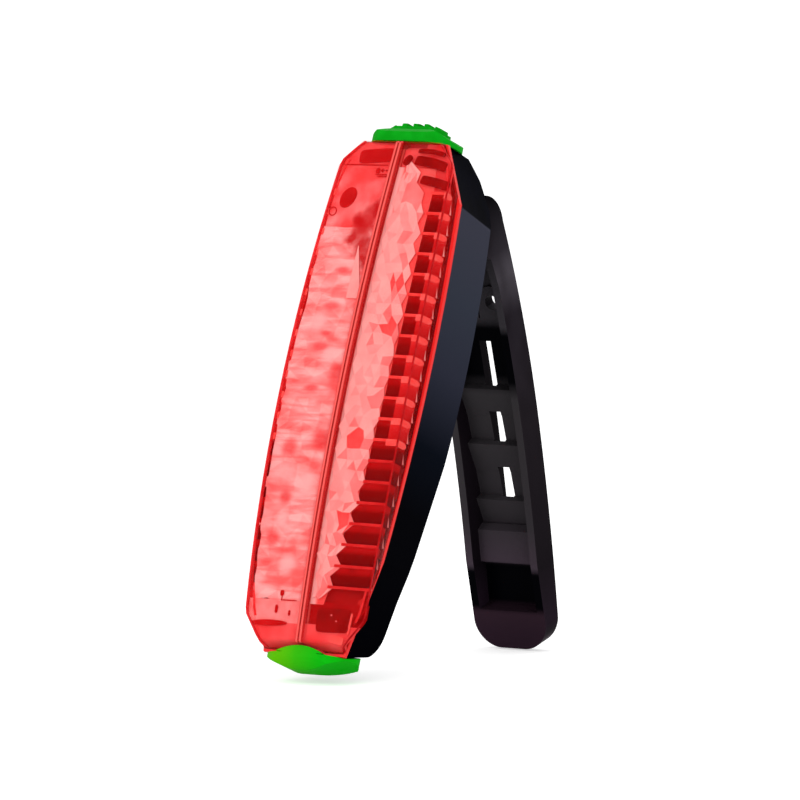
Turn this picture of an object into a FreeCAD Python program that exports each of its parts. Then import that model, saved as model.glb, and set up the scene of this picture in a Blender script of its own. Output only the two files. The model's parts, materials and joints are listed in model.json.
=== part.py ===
import FreeCAD, Part
import math
import os

# Clip-on bicycle light with a ridged lens, a black rear housing and a toothed strap clip.
# The light is drawn upright: X is its width, Y runs from the lens to the clip, Z is its length.
# The gasket face is the plane Y = 0. At the end the whole light is leaned into its standing pose.

# Stance
lean_angle = 20.2
open_angle = 36.0

# Body outline, half widths and heights
rim_half_width = 11.2
rim_bulge_height = 6.0
rim_top_half_width = 10.7
rim_top_height = 28.4
rim_bottom_half_width = 9.7
rim_bottom_height = -24.0
rim_end_half_width = 6.7
front_setback = 0.35
front_half_width = rim_half_width - front_setback
front_top_half_width = rim_top_half_width - 3 * front_setback
front_top_height = 33.9
front_bottom_half_width = 10.3
front_bottom_height = -33.2
front_end_half_width = 6.4
skirt_depth = 2.8
back_inset = 2.3
housing_end = 0.8
body_top = 37.2
body_bottom = -38.4

# Lens
ridge_depth = 4.6
roof_drop = 0.5
ridge_bow_radius = 311.0
roof_sweep = 24
lens_wall = 1.1
bead_pitch = 0.62
bead_width = 0.34
bead_height = 0.3
bead_end = 1.0
bead_back = 1.5
flange_height = 0.6
flange_reach = 0.3
lens_top_round = 3.0
lens_bottom_round = 5.6
lens_round_reach = 2.0
lens_bottom_reach = 2.4
lens_bottom_rise = 3.0
lens_seat = 0.2
quarter_middle = 0.2929
bottom_middle = (0.16, 0.42)
rib_pitch = 3.07
rib_thickness = 0.7
rib_reach = 2.1
rib_count = 18
rib_root = 0.1
rib_setback = 0.2
rib_low_height = -26.2

# Gasket and housing
gasket_thickness = 0.4
gasket_inset = 0.35
gasket_width = 0.9
housing_wall = 1.5
crown_depth = 6.6
shoulder_depth = 9.9
shoulder_height = 34.9
back_depth = 14.2
back_bulge_height = 10.0
back_mid_depth = 13.3
back_mid_height = -7.0
back_top_depth = 12.7
back_top_height = 31.0
back_low_depth = 9.3
back_low_height = -28.0
end_slope = 0.27
heel_depth = 6.2
foot_depth = 8.8
foot_height = -32.8
heel_round = 0.9
heel_drop = 2.4
heel_ease = 0.8
back_bevels = ((0.4, 5.6), (1.3, 7.6))

# Circuit board and what it carries
board_front = 3.6
board_thickness = 1.0
board_half_width = 6.6
board_end_half_width = 4.4
board_taper = 7.0
switch_half_width = 2.3
switch_depth = 2.0
switch_height = 2.2
board_top = 32.6
board_bottom = -34.4
led_size = 2.8
led_height = 0.8
led_count = 5
led_clearance = 0.6
guide_gap = 0.3
guide_thickness = 1.0
guide_half_width = 6.6
guide_tooth_depth = 1.1
guide_low = -30.45
guide_tooth_count = 20
guide_groove_width = 1.6
guide_groove_depth = 0.4
guide_slant = roof_drop / front_half_width
guide_leg_half_width = 0.6
guide_leg_x = 4.2
guide_leg_height = 21.5
guide_back_steps = 6
# Each chip: side, height above the board's lower end, width, length and thickness
back_chips = ((-2.5, 10.4, 5.0, 5.0, 1.0), (-4.4, 2.8, 2.6, 2.0, 1.0), (1.6, 3.0, 1.6, 0.8, 0.6))
front_chips = ((3.4, 61.4, 1.6, 1.0, 0.9), (-5.4, 5.6, 1.4, 2.6, 0.9))
screw_radius = 0.8
screw_head_radius = 1.5
screw_clearance = 0.7
screw_head_height = 0.9
screw_length = 5.0
boss_radius = 2.0
boss_root = 0.4
cross_half_length = 0.9
cross_half_width = 0.25
cross_depth = 0.5
lamp_share = 0.72
lamp_height = 0.3

screw_top_height = board_top - switch_height - screw_clearance - screw_head_radius
screw_bottom_height = board_bottom + 7.4
led_low_height = screw_bottom_height + screw_head_radius + led_clearance + led_size / 2
led_top_height = screw_top_height - screw_head_radius - led_clearance - led_size / 2
led_pitch = (led_top_height - led_low_height) / (led_count - 1)

# Battery and leads
battery_half_width = 6.0
battery_thickness = 5.0
battery_gap = 0.5
battery_low = -14.0
battery_length = 34.0
battery_round = 1.5
tape_side = 1.5
tape_end = 3.0
lead_radius = 0.45
lead_x = 2.4
lead_rise = 1.6
lead_bend = 1.7
lead_sides = 8

# Charging socket and its cover
socket_half_width = 3.8
socket_thickness = 2.6
socket_length = 5.2
socket_wall = 0.3
socket_setback = 2.1
socket_round = 0.7
socket_back = 0.6
tongue_side = 1.2
tongue_thickness = 0.6
tongue_setback = 0.8
slot_clearance = 0.5
cap_half_width = 7.0
cap_center = 2.0
cap_half_depth = 3.9
cap_roundness = 0.94
cover_drop = 2.3
cover_peak = 1.2
cover_peak_half_width = 4.2
cover_peak_depth = 1.3
peak_clearance = 0.2
peak_skirt = 0.01
peak_root = 0.5
keel_front = (0.45, 0.65)
keel_front_end = 2.2
keel_flat_end = 0.2
keel_back = (1.5, 1.25)
cover_gap = 0.1
cover_crown = 12.5
plug_height = 1.8
plug_clearance = 0.35
plug_root = 0.2
tether_width = 5.0
tether_depth = 0.6
tether_setback = 0.5
tether_head = 0.8
tether_gap = 0.05

# Push button, its boot and the switch
boot_rise = 2.7
boot_crown = 13.0
crown_share = 0.5
boot_lip_drop = 0.4
rib_row_inset = 0.5
boot_neck_inset = 1.2
boot_neck_gap = 0.1
boot_lip = 0.7
boot_lip_half_width = 4.5
boot_lip_height = 0.8
pad_inset = 2.0
pad_gap = 0.15
pad_rise = 3.1
pad_flange = 0.7
pad_flange_lip = 0.45
pad_seat = 0.5
button_travel = 0.7
rib_row_count = 5
rib_row_pitch = 1.9
rib_row_width = 0.8
rib_row_height = 0.4
stem_radius = 1.3
plunger_half_width = 0.7
plunger_rise = 0.8
plunger_socket = 1.0
plunger_gap = 0.1
plunger_depth = board_front - switch_depth / 2
button_gap = 0.05
chamber_gap = 0.1

# Hinge
hinge_y = 16.3
hinge_z = 28.0
pin_radius = 1.0
pin_running_gap = 0.05
pin_cover = 0.6
pin_end_gap = 0.1
ear_radius = 2.5
ear_inner = 2.6
ear_outer = 4.5
ear_reach = 0.6
ear_taper = 0.1
ear_root = 1.0
ear_root_up = 3.4
ear_root_down = 6.0
washer_thickness = 0.35
washer_gap = 0.05
washer_radius = 1.9

# Strap clip, drawn along its own line: along runs from the hinge to the tip, out is away from the body
clip_half_width = 6.2
clip_wall = 1.2
clip_floor = 3.1
clip_length = 62.4
clip_heel = 6.9
clip_heel_out = 0.2
clip_brow = 1.5
clip_brow_end = 2.0
clip_brow_out = 3.5
clip_middle_share = 30.0 / 62.4
clip_low_share = 47.0 / 62.4
clip_back_rise = 17.0
clip_back_out = 4.75
clip_middle_out = 4.6
clip_low_out = 3.2
clip_tip_out = 1.1
clip_tip_in = 1.9
clip_low_in = 1.5
clip_waist_out = 0.1
clip_wall_start = 7.0
clip_wall_in = -0.1
knuckle_round = 2.4
knuckle_reach = 1.0
clip_tip_flat = 1.6
clip_tip_round = 4.8
tip_middle = 0.265
slot_width = 2.0
slot_start = 16.5
slot_end = 44.2
slot_depth = 2.75
tooth_first = 23.5
tooth_pitch = 8.6
tooth_count = 3
tooth_crest = 1.85
tooth_face = 0.4
tooth_slope = 4.6
grip_pad_start = 45.2
grip_pad_end = 50.0
grip_pad_out = 1.0
grip_pad_face = 0.6
grip_pad_foot_rise = 0.7
grip_pad_fall = 0.5
tooth_foot_rise = 0.15
recess_out = 1.7
recess_low_out = 1.0
lip_start = 56.6
lip_out = -0.2
hollow_step = 0.2
hollow_top_wall = 1.3
hollow_top_out = 1.2
hollow_brow = 2.2
hollow_brow_out = 2.2
hollow_floor_start = 4.6
eye_along = 10.4
eye_x = 2.5
eye_radius = 1.1
eye_pad_half_width = 2.4
eye_pad_length = 5.0
eye_pad_height = 0.4
eye_pad_root = 0.3

far = 60.0
overlap = 1.0
vector = FreeCAD.Vector
across = vector(1, 0, 0)
inward = vector(0, 1, 0)
upward = vector(0, 0, 1)


# Points of a flat outline are pairs; each step is (end,) for a line or (middle, end) for an arc.
def flat_face(place, start, *steps):
    edges = []
    here = place(start)
    for step in steps:
        end = place(step[-1])
        if len(step) == 2:
            edges.append(Part.Arc(here, place(step[0]), end).toShape())
        else:
            edges.append(Part.LineSegment(here, end).toShape())
        here = end
    return Part.Face(Part.Wire(edges))


def on_side(point):
    return vector(-far, point[0], point[1])


def side_prism(start, *steps):
    return flat_face(on_side, start, *steps).extrude(vector(2 * far, 0, 0))


def block(low, high):
    size = [high[i] - low[i] for i in range(3)]
    return Part.makeBox(size[0], size[1], size[2], vector(*low))


def rod(radius, length, start, direction):
    return Part.makeCylinder(radius, length, vector(*start), direction)


def mirrored(shape):
    return shape.mirror(vector(0, 0, 0), across)


def both_sides(shape):
    return Part.makeCompound([shape, mirrored(shape)])


def long_edges(shape):
    return [edge for edge in shape.Edges if abs(edge.tangentAt(edge.FirstParameter).z) > 0.99]


# One closed outline of the body in a plane of constant depth, with bulged sides and tapered ends.
def body_outline(depth, top, bulge, bottom, top_end, bottom_end):
    def at(x, z):
        return vector(x, depth, z)
    edges = [
        Part.Arc(at(*bottom), at(*bulge), at(*top)).toShape(),
        Part.LineSegment(at(*top), at(*top_end)).toShape(),
        Part.LineSegment(at(*top_end), at(-top_end[0], top_end[1])).toShape(),
        Part.LineSegment(at(-top_end[0], top_end[1]), at(-top[0], top[1])).toShape(),
        Part.Arc(at(-top[0], top[1]), at(-bulge[0], bulge[1]), at(-bottom[0], bottom[1])).toShape(),
        Part.LineSegment(at(-bottom[0], bottom[1]), at(-bottom_end[0], bottom_end[1])).toShape(),
        Part.LineSegment(at(-bottom_end[0], bottom_end[1]), at(*bottom_end)).toShape(),
        Part.LineSegment(at(*bottom_end), at(*bottom)).toShape(),
    ]
    return Part.Wire(edges)


def rim_outline(depth, inset, narrowing=0):
    side = inset + narrowing
    return body_outline(
        depth,
        (rim_top_half_width - side, rim_top_height - side / 3),
        (rim_half_width - side, rim_bulge_height),
        (rim_bottom_half_width - side, rim_bottom_height + side / 3),
        (rim_end_half_width - side / 2, body_top - inset),
        (rim_end_half_width - side / 2, body_bottom + inset))


def front_outline(depth, inset):
    return body_outline(
        depth,
        (front_top_half_width - inset, front_top_height - inset / 2),
        (front_half_width - inset, rim_bulge_height),
        (front_bottom_half_width - inset, front_bottom_height + inset / 2),
        (front_end_half_width - inset / 2, body_top - inset),
        (front_end_half_width - inset / 2, body_bottom + inset))


# The lens front is a shallow roof swept round a large radius, so that its ridge is bowed.
def roof_block(inset):
    top = -ridge_depth + inset
    slope = roof_drop / front_half_width
    reach = 2 * front_half_width
    edge = top + slope * reach
    points = [(-reach, edge), (0, top), (reach, edge), (reach, reach), (-reach, reach)]
    corners = [vector(x, y, 0) for x, y in points]
    section = Part.Face(Part.makePolygon(corners + corners[:1]))
    axis_depth = ridge_bow_radius - ridge_depth
    section.rotate(vector(0, axis_depth, 0), vector(1, 0, 0), -roof_sweep / 2)
    return section.revolve(vector(0, axis_depth, 0), vector(1, 0, 0), roof_sweep)


def end_rounds(inset):
    top = body_top - inset
    bottom = body_bottom + inset
    front = -ridge_depth - lens_round_reach
    top_foot = (front, top - lens_top_round - lens_round_reach)
    top_rise = lens_top_round * quarter_middle
    top_middle = (-ridge_depth + top_rise, top - top_rise)
    low_across, low_up = bottom_middle
    low_middle = (front + lens_bottom_reach + lens_bottom_round * low_across,
                  bottom + lens_bottom_round * low_up)
    return side_prism(
        top_foot,
        (top_middle, (lens_seat, top)),
        ((far, top),),
        ((far, bottom),),
        ((lens_seat, bottom),),
        (low_middle, (front, bottom + lens_bottom_round + lens_bottom_rise)),
        (top_foot,))


def lens_block(inset, back):
    crease = front_outline(-skirt_depth, inset)
    front = front_outline(-2 * ridge_depth, inset)
    skirt = Part.makeLoft([rim_outline(back, inset), crease, front], True, True)
    return skirt.common(roof_block(inset)).common(end_rounds(inset))


# Two fine beads run along the ridge, one on each side of it, and bend round both ends.
def ridge_beads():
    beads = end_rounds(-bead_height).cut(roof_block(lens_wall / 2))
    span = block((-far, -far, body_bottom + bead_end), (far, -bead_back, body_top - bead_end / 2))
    beads = beads.common(span)
    beads = beads.common(roof_block(-bead_height))
    strips = []
    for middle in (-bead_pitch / 2, bead_pitch / 2):
        low = (middle - bead_width / 2, -far, -far)
        strips.append(beads.common(block(low, (middle + bead_width / 2, far, far))))
    return strips


# A thin flange closes the rim of the lens where it meets the gasket.
def rim_flange():
    flange = Part.Face(rim_outline(-flange_height, -flange_reach)).extrude(vector(0, flange_height, 0))
    opening = Part.Face(rim_outline(-far, lens_wall)).extrude(vector(0, 2 * far, 0))
    ends = block((-far, -far, body_bottom), (far, far, body_top))
    return flange.cut(opening).common(ends)


def cap_outline(grow):
    half_width = cap_half_width + grow
    half_depth = cap_half_depth + grow
    bar = block((-half_width, cap_center - half_depth, -far), (half_width, cap_center + half_depth, far))
    return bar.makeFillet(half_depth * cap_roundness, long_edges(bar))


def make_lens():
    shell = lens_block(0, 0).cut(lens_block(lens_wall, lens_wall))
    inside = lens_block(lens_wall - rib_root, 0)
    rib_outer = front_half_width
    rib_inner = front_half_width - lens_wall - rib_reach
    ribs = []
    for i in range(rib_count):
        height = rib_low_height + i * rib_pitch
        low = (rib_inner, -ridge_depth, height)
        high = (rib_outer, -rib_setback, height + rib_thickness)
        ribs.append(block(low, high).common(inside))
    ladder = Part.makeCompound(ribs)
    lens = shell.fuse([ladder, mirrored(ladder), rim_flange()] + ridge_beads())
    return lens.cut(end_opening()).cut(cover_notch(peak_clearance / 2)).removeSplitter()


def make_gasket():
    outer = Part.Face(rim_outline(0, gasket_inset)).extrude(vector(0, gasket_thickness, 0))
    inner = Part.Face(rim_outline(-far, gasket_inset + gasket_width)).extrude(vector(0, 2 * far, 0))
    return outer.cut(inner).cut(end_opening())


# The side view of the back. With a slope the extrusion runs aslant and bevels the edge from a given x.
def back_profile(inset, slope=0, bevel_from=0):
    top = body_top - inset
    bottom = body_bottom + inset

    def place(point):
        return vector(-far, point[0] + slope * (far + bevel_from), point[1])
    return flat_face(
        place,
        (-4 * far, top),
        ((crown_depth, top),),
        ((shoulder_depth - inset, shoulder_height - inset / 2),),
        ((back_top_depth - inset, back_top_height - inset / 2),),
        ((back_depth - inset, back_bulge_height), (back_mid_depth - inset, back_mid_height)),
        ((back_low_depth - inset, back_low_height + inset / 3),),
        ((foot_depth - inset, foot_height + inset / 2),),
        ((foot_depth - heel_round - inset * heel_ease, foot_height - heel_drop + inset * heel_ease),
         (heel_depth - inset / 2, bottom + heel_depth * end_slope)),
        ((0, bottom),),
        ((-4 * far, bottom),),
        ((-4 * far, top),)).extrude(vector(2 * far, -2 * far * slope, 0))


def housing_block(inset, front):
    back = rim_outline(back_depth + housing_end, inset, back_inset)
    shape = Part.makeLoft([rim_outline(front, inset), back], True, True)
    return shape.common(back_profile(inset))


# Two bevels on each side round the long back edges.
def bevelled(shape):
    for slope, bevel_from in back_bevels:
        bevel = back_profile(0, slope, bevel_from)
        shape = shape.common(bevel).common(mirrored(bevel))
    return shape


def hinge_ear():
    width = ear_outer - ear_inner
    disc = rod(ear_radius, width, (ear_inner, hinge_y, hinge_z), across)
    shoulder = hinge_y + ear_reach
    side = ear_radius - ear_taper
    root_depth = back_top_depth - ear_root

    def place(point):
        return vector(ear_inner, point[0], hinge_z + point[1])
    root = flat_face(
        place,
        (root_depth, ear_root_up),
        ((shoulder, side),),
        ((shoulder, -side),),
        ((root_depth, -ear_root_down),),
        ((root_depth, ear_root_up),)).extrude(vector(width, 0, 0))
    return disc.fuse(root)


def make_housing():
    outer = bevelled(housing_block(0, gasket_thickness))
    inside = housing_block(housing_wall, gasket_thickness - overlap / 2)
    shell = outer.cut(inside)
    bosses = []
    for height in (screw_top_height, screw_bottom_height):
        post = rod(boss_radius, far, (0, board_front + board_thickness, height), inward)
        post = post.common(housing_block(housing_wall - boss_root, gasket_thickness))
        bosses.append(post.cut(rod(screw_radius, screw_length, (0, 0, height), inward)))
    ears = both_sides(hinge_ear()).cut(inside)
    shell = shell.fuse(bosses + [ears])
    shell = shell.cut(rod(pin_radius + pin_running_gap, 2 * far, (-far, hinge_y, hinge_z), across))
    shell = shell.cut(end_opening()).cut(socket_slot()).cut(tether_slot())
    return shell.removeSplitter()


def socket_slot():
    half = socket_half_width + slot_clearance
    front = board_front - socket_thickness - slot_clearance
    back = board_front + slot_clearance
    return block((-half, front, body_bottom - overlap), (half, back, body_bottom + 2 * housing_wall))


def make_board():
    def at(x, z):
        return vector(x, board_front, z)
    half = board_half_width
    end = board_end_half_width
    right = [(end, board_bottom), (half, board_bottom + board_taper), (half, board_top - board_taper / 2),
             (end, board_top)]
    outline = [at(x, z) for x, z in right + [(-x, z) for x, z in reversed(right)]]
    board = Part.Face(Part.makePolygon(outline + outline[:1])).extrude(vector(0, board_thickness, 0))
    for height in (screw_top_height, screw_bottom_height):
        board = board.cut(rod(screw_radius, far, (0, 0, height), inward))
    return board


def make_screws():
    screws = []
    for height in (screw_top_height, screw_bottom_height):
        head_base = board_front - screw_head_height
        floor = head_base + cross_depth
        screw = rod(screw_head_radius, screw_head_height, (0, head_base, height), inward)
        for half_x, half_z in ((cross_half_width, cross_half_length), (cross_half_length, cross_half_width)):
            screw = screw.cut(block((-half_x, -far, height - half_z), (half_x, floor, height + half_z)))
        shank = rod(screw_radius, screw_length - board_front, (0, board_front, height), inward)
        screws.append(screw.fuse(shank))
    return Part.makeCompound(screws)


def make_leds():
    leds = []
    for i in range(led_count):
        height = led_low_height + i * led_pitch
        base = block((-led_size / 2, board_front - led_height, height - led_size / 2),
                     (led_size / 2, board_front, height + led_size / 2))
        lamp_half = led_size * lamp_share / 2
        lamp = block((-lamp_half, board_front - led_height - lamp_height, height - lamp_half),
                     (lamp_half, board_front - led_height, height + lamp_half))
        leds.append(base.fuse(lamp))
    return Part.makeCompound(leds)


# The light guide lies under the roof of the lens, with zigzag edges and a groove at every tooth.
def guide_front(height):
    return -ridge_depth + lens_wall + guide_gap + height * height / (2 * ridge_bow_radius)


def guide_half():
    high = guide_low + guide_tooth_count * rib_pitch
    profile = [(guide_front(guide_low), guide_low)]
    edge = [(guide_half_width - guide_tooth_depth, guide_low)]
    for i in range(1, guide_tooth_count + 1):
        notch = guide_low + i * rib_pitch
        edge.append((guide_half_width, notch - rib_pitch / 2))
        edge.append((guide_half_width - guide_tooth_depth, notch))
        if notch < high:
            profile.append((guide_front(notch), notch - guide_groove_width / 2))
            profile.append((guide_front(notch) + guide_groove_depth, notch))
            profile.append((guide_front(notch), notch + guide_groove_width / 2))
    profile.append((guide_front(high), high))
    for i in range(guide_back_steps + 1):
        height = high + (guide_low - high) * i / guide_back_steps
        profile.append((guide_front(height) + guide_thickness, height))
    side = [vector(0, y, z) for y, z in profile]
    plan = [vector(x, -far, z) for x, z in edge + [(0, high), (0, guide_low)]]
    slab = Part.Face(Part.makePolygon(side + side[:1]))
    slab = slab.extrude(vector(guide_half_width, guide_slant * guide_half_width, 0))
    outline = Part.Face(Part.makePolygon(plan + plan[:1])).extrude(vector(0, 2 * far, 0))
    return slab.common(outline)


def make_guide():
    half = guide_half()
    legs = []
    for x in (-guide_leg_x, guide_leg_x):
        for height in (-guide_leg_height, guide_leg_height):
            front = guide_front(height) + guide_thickness / 2
            low = (x - guide_leg_half_width, front, height - guide_leg_half_width)
            high = (x + guide_leg_half_width, board_front, height + guide_leg_half_width)
            legs.append(block(low, high))
    return half.fuse([mirrored(half)] + legs).removeSplitter()


def make_chips():
    chips = []
    back = board_front + board_thickness
    for x, height, width, length, rise in back_chips:
        foot = board_bottom + height
        chips.append(block((x, back, foot), (x + width, back + rise, foot + length)))
    for x, height, width, length, rise in front_chips:
        foot = board_bottom + height
        chips.append(block((x, board_front - rise, foot), (x + width, board_front, foot + length)))
    return Part.makeCompound(chips)


def make_battery():
    front = board_front + board_thickness + battery_gap
    cell = block((-battery_half_width, front, battery_low),
                 (battery_half_width, front + battery_thickness, battery_low + battery_length))
    return cell.makeFillet(battery_round, long_edges(cell))


def make_tape():
    front = board_front + board_thickness
    half = battery_half_width - tape_side
    low = battery_low + tape_end
    high = battery_low + battery_length - tape_end
    return block((-half, front, low), (half, front + battery_gap, high))


def lead_tube(x):
    board_back = board_front + board_thickness
    start = vector(x, board_back + battery_gap + battery_thickness / 2, battery_low + battery_length)
    rise = start + upward * lead_rise
    turn = rise + vector(0, -lead_bend, lead_bend)
    middle = rise + vector(0, -lead_bend * quarter_middle, lead_bend * (1 - quarter_middle))
    end = vector(x, board_back, turn.z)
    path = Part.Wire([
        Part.LineSegment(start, rise).toShape(),
        Part.Arc(rise, middle, turn).toShape(),
        Part.LineSegment(turn, end).toShape()])
    corners = []
    for i in range(lead_sides + 1):
        turned = i * math.tau / lead_sides
        corners.append(start + vector(lead_radius * math.cos(turned), lead_radius * math.sin(turned), 0))
    return path.makePipeShell([Part.makePolygon(corners)], True, False)


def make_socket():
    mouth = body_bottom + socket_setback
    front = board_front - socket_thickness
    outer = block((-socket_half_width, front, mouth), (socket_half_width, board_front, mouth + socket_length))
    outer = outer.makeFillet(socket_round, long_edges(outer))
    half = socket_half_width - socket_wall
    inner = block((-half, front + socket_wall, body_bottom),
                  (half, board_front - socket_wall, mouth + socket_length - socket_back))
    return outer.cut(inner)


def make_socket_tongue():
    middle = board_front - socket_thickness / 2
    half = socket_half_width - tongue_side
    half_depth = tongue_thickness / 2
    mouth = body_bottom + socket_setback
    return block((-half, middle - half_depth, mouth + tongue_setback),
                 (half, middle + half_depth, mouth + socket_length - socket_back))


def make_switch():
    body = block((-switch_half_width, board_front - switch_depth, board_top - switch_height),
                 (switch_half_width, board_front, board_top))
    depth = plunger_socket + button_travel + plunger_gap
    return body.cut(plunger_bar(plunger_gap, board_top - depth, board_top + overlap))


def plunger_bar(grow, low, high):
    half = plunger_half_width + grow
    return block((-half, plunger_depth - half, low), (half, plunger_depth + half, high))


def make_plunger():
    return plunger_bar(0, board_top - plunger_socket, board_top + plunger_rise)


def level(low, high):
    return block((-far, -far, low), (far, far, high))


def crowned(inset, top, crown):
    low = top - crown
    barrel = rod(crown, 2 * far, (0, -far, low), inward)
    low = top - crown * crown_share
    barrel = barrel.common(rod(crown * crown_share, 2 * far, (-far, cap_center, low), across))
    return cap_outline(-inset).common(barrel)


def neck_outline(grow):
    return cap_outline(grow - boot_neck_inset)


# The soft boot sits on the end wall, and its neck and lip hold it in the end opening.
def make_boot():
    top = body_top + boot_rise
    lip_top = body_top - lens_wall - boot_lip_drop
    dome = crowned(0, top, boot_crown).common(level(body_top, top))
    neck = neck_outline(-boot_neck_gap).common(level(lip_top - boot_lip_height, body_top))
    lip = neck_outline(boot_lip).common(level(lip_top - boot_lip_height, lip_top))
    lip = lip.common(block((-boot_lip_half_width, cap_center, -far), (boot_lip_half_width, far, far)))
    boot = dome.fuse([neck, lip])
    opening = cap_outline(pad_gap - pad_inset).common(level(-far, far))
    chamber = cap_outline(pad_gap + pad_flange_lip - pad_inset).common(level(-far, body_top + pad_seat))
    return boot.cut(opening).cut(chamber)


# The button is a ribbed pad with a flange that keeps it under the boot and a stem over the switch.
def make_button():
    top = body_top + pad_rise
    flange_top = body_top + pad_seat - button_gap
    pad = crowned(pad_inset, top, boot_crown).common(level(flange_top - pad_flange, top))
    ribs = []
    for i in range(rib_row_count):
        x = (i - (rib_row_count - 1) / 2) * rib_row_pitch
        strip = block((x - rib_row_width / 2, -far, flange_top), (x + rib_row_width / 2, far, far))
        ribs.append(crowned(pad_inset + rib_row_inset, top + rib_row_height, boot_crown).common(strip))
    flange = cap_outline(pad_flange_lip - pad_inset).common(level(flange_top - pad_flange, flange_top))
    foot = board_top + plunger_rise + button_gap
    stem = rod(stem_radius, flange_top - foot - chamber_gap, (0, plunger_depth, foot), upward)
    return pad.fuse(ribs + [flange, stem]).removeSplitter()


def end_opening():
    return neck_outline(0).common(level(body_top - 3 * housing_wall, far))


def tether_box(grow, low, high):
    back = cap_center + cap_half_depth - tether_setback
    half = tether_width / 2 + grow
    return block((-half, back - tether_depth - grow, low), (half, back + grow, high))


def tether_slot():
    return tether_box(tether_gap, body_bottom - overlap, body_bottom + 3 * housing_wall)


# The tether of the cover passes through the end wall and is held by its head inside.
def make_tether():
    low = body_bottom + (cap_center + cap_half_depth) * end_slope
    head_low = low + housing_wall + tether_gap
    strip = tether_box(0, low, head_low + tether_head)
    back = cap_center + cap_half_depth - tether_setback
    half = tether_width / 2 + tether_head
    return strip.fuse(block((-half, back - tether_depth, head_low), (half, back, head_low + tether_head)))


# A low arch in the lens end leaves room for the thumb peak of the cover.
def cover_notch(grow):
    front = cap_center - cap_half_depth

    def place(point):
        return vector(point[0], -far, body_bottom + point[1])
    half = cover_peak_half_width + grow
    arch = flat_face(
        place,
        (-half, -peak_skirt),
        ((0, cover_peak + grow), (half, -peak_skirt)),
        ((-half, -peak_skirt),))
    return arch.extrude(vector(0, far + front + cover_peak_depth + grow, 0))


# The charging cover is a soft cap with a thumb peak in front and a low plug that enters the slot.
def make_cover():
    top = body_bottom - cover_gap
    low = body_bottom - cover_drop
    front = cap_center - cap_half_depth
    back = cap_center + cap_half_depth
    back_top = top + back * end_slope
    crown = rod(cover_crown, 2 * far, (0, -far, low + cover_crown), inward)
    keel = side_prism(
        (front, top),
        ((front + keel_front[0], low + keel_front[1]), (front + keel_front_end, low)),
        ((cap_center - keel_flat_end, low),),
        ((back - keel_back[0], low + keel_back[1]), (back, back_top)),
        ((0, top),),
        ((front, top),))
    bowl = cap_outline(0).common(crown).common(keel)
    half = socket_half_width + slot_clearance - plug_clearance
    plug_front = board_front - socket_thickness - slot_clearance + plug_clearance
    plug_back = board_front + slot_clearance - plug_clearance
    plug = block((-half, plug_front, top - plug_root), (half, plug_back, body_bottom + plug_height))
    peak = cover_notch(-peak_clearance)
    peak = peak.fuse(peak.translated(upward * -peak_root))
    peak = peak.common(block((-far, front, -far), (far, far, far)))
    return bowl.fuse([plug, peak]).removeSplitter()


# The hinge knuckle, the back and the side walls of the clip share one outer line.
def clip_at(x, along, out):
    return vector(x, hinge_y + out, hinge_z - along)


def clip_profile(x, width, start, *steps):
    def place(point):
        return clip_at(x, point[0], point[1])
    return flat_face(place, start, *steps).extrude(vector(width, 0, 0))


def clip_envelope():
    heel = (-clip_heel, clip_heel_out)
    middle = clip_length * clip_middle_share
    low = clip_length * clip_low_share
    return clip_profile(
        -clip_half_width, 2 * clip_half_width,
        heel,
        ((-clip_heel + clip_brow, knuckle_round), (-clip_brow_end, clip_brow_out)),
        ((middle - clip_back_rise, clip_back_out), (middle, clip_middle_out)),
        ((low, clip_low_out), (clip_length, clip_tip_out)),
        ((clip_length, -clip_tip_in),),
        ((low + clip_brow_end, -clip_low_in),),
        ((middle - clip_brow_end, clip_waist_out), (clip_wall_start, clip_wall_in)),
        ((knuckle_round, -knuckle_reach),),
        ((0.0, -knuckle_round), (-knuckle_round, -knuckle_reach)),
        (heel,))


def clip_plan():
    half = clip_half_width
    straight = clip_length - clip_tip_round

    def at(point):
        return vector(point[0], -far, hinge_z - point[1])
    corner = (half - (half - clip_tip_flat) * tip_middle, clip_length - clip_tip_round * tip_middle)
    return flat_face(
        at,
        (half, -clip_heel),
        ((half, straight),),
        (corner, (clip_tip_flat, clip_length)),
        ((-clip_tip_flat, clip_length),),
        ((-corner[0], corner[1]), (-half, straight)),
        ((-half, -clip_heel),),
        ((half, -clip_heel),)).extrude(vector(0, 3 * far, 0))


# What the clip holds between its side walls: floor, saw teeth, grip pad, recess and tip lip.
def clip_hollow():
    inner = clip_half_width - clip_wall
    top = -clip_heel + hollow_top_wall
    open_side = -2 * knuckle_round
    points = [(top, open_side), (top, hollow_top_out), (top + hollow_brow, hollow_brow_out),
              (top + hollow_floor_start, clip_floor)]
    for i in range(tooth_count):
        crest = tooth_first + i * tooth_pitch
        points.append((crest - tooth_face, clip_floor))
        points.append((crest, tooth_crest))
        points.append((crest + tooth_slope, clip_floor - tooth_foot_rise))
    points.append((grip_pad_start - grip_pad_face, clip_floor - grip_pad_foot_rise))
    points.append((grip_pad_start, grip_pad_out))
    points.append((grip_pad_end, grip_pad_out - grip_pad_fall))
    points.append((grip_pad_end + hollow_step, recess_out))
    points.append((lip_start - hollow_step, recess_low_out))
    points.append((lip_start, lip_out))
    points.append((lip_start, open_side))
    steps = [(point,) for point in points[1:] + points[:1]]
    return clip_profile(-inner, 2 * inner, points[0], *steps)


def clip_slot():
    half = slot_width / 2

    def at(point):
        return vector(point[0], hinge_y + slot_depth, hinge_z - point[1])
    return flat_face(
        at,
        (half, slot_start),
        ((half, slot_end - half),),
        ((0, slot_end), (-half, slot_end - half)),
        ((-half, slot_start),),
        ((half, slot_start),)).extrude(vector(0, far, 0))


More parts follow.
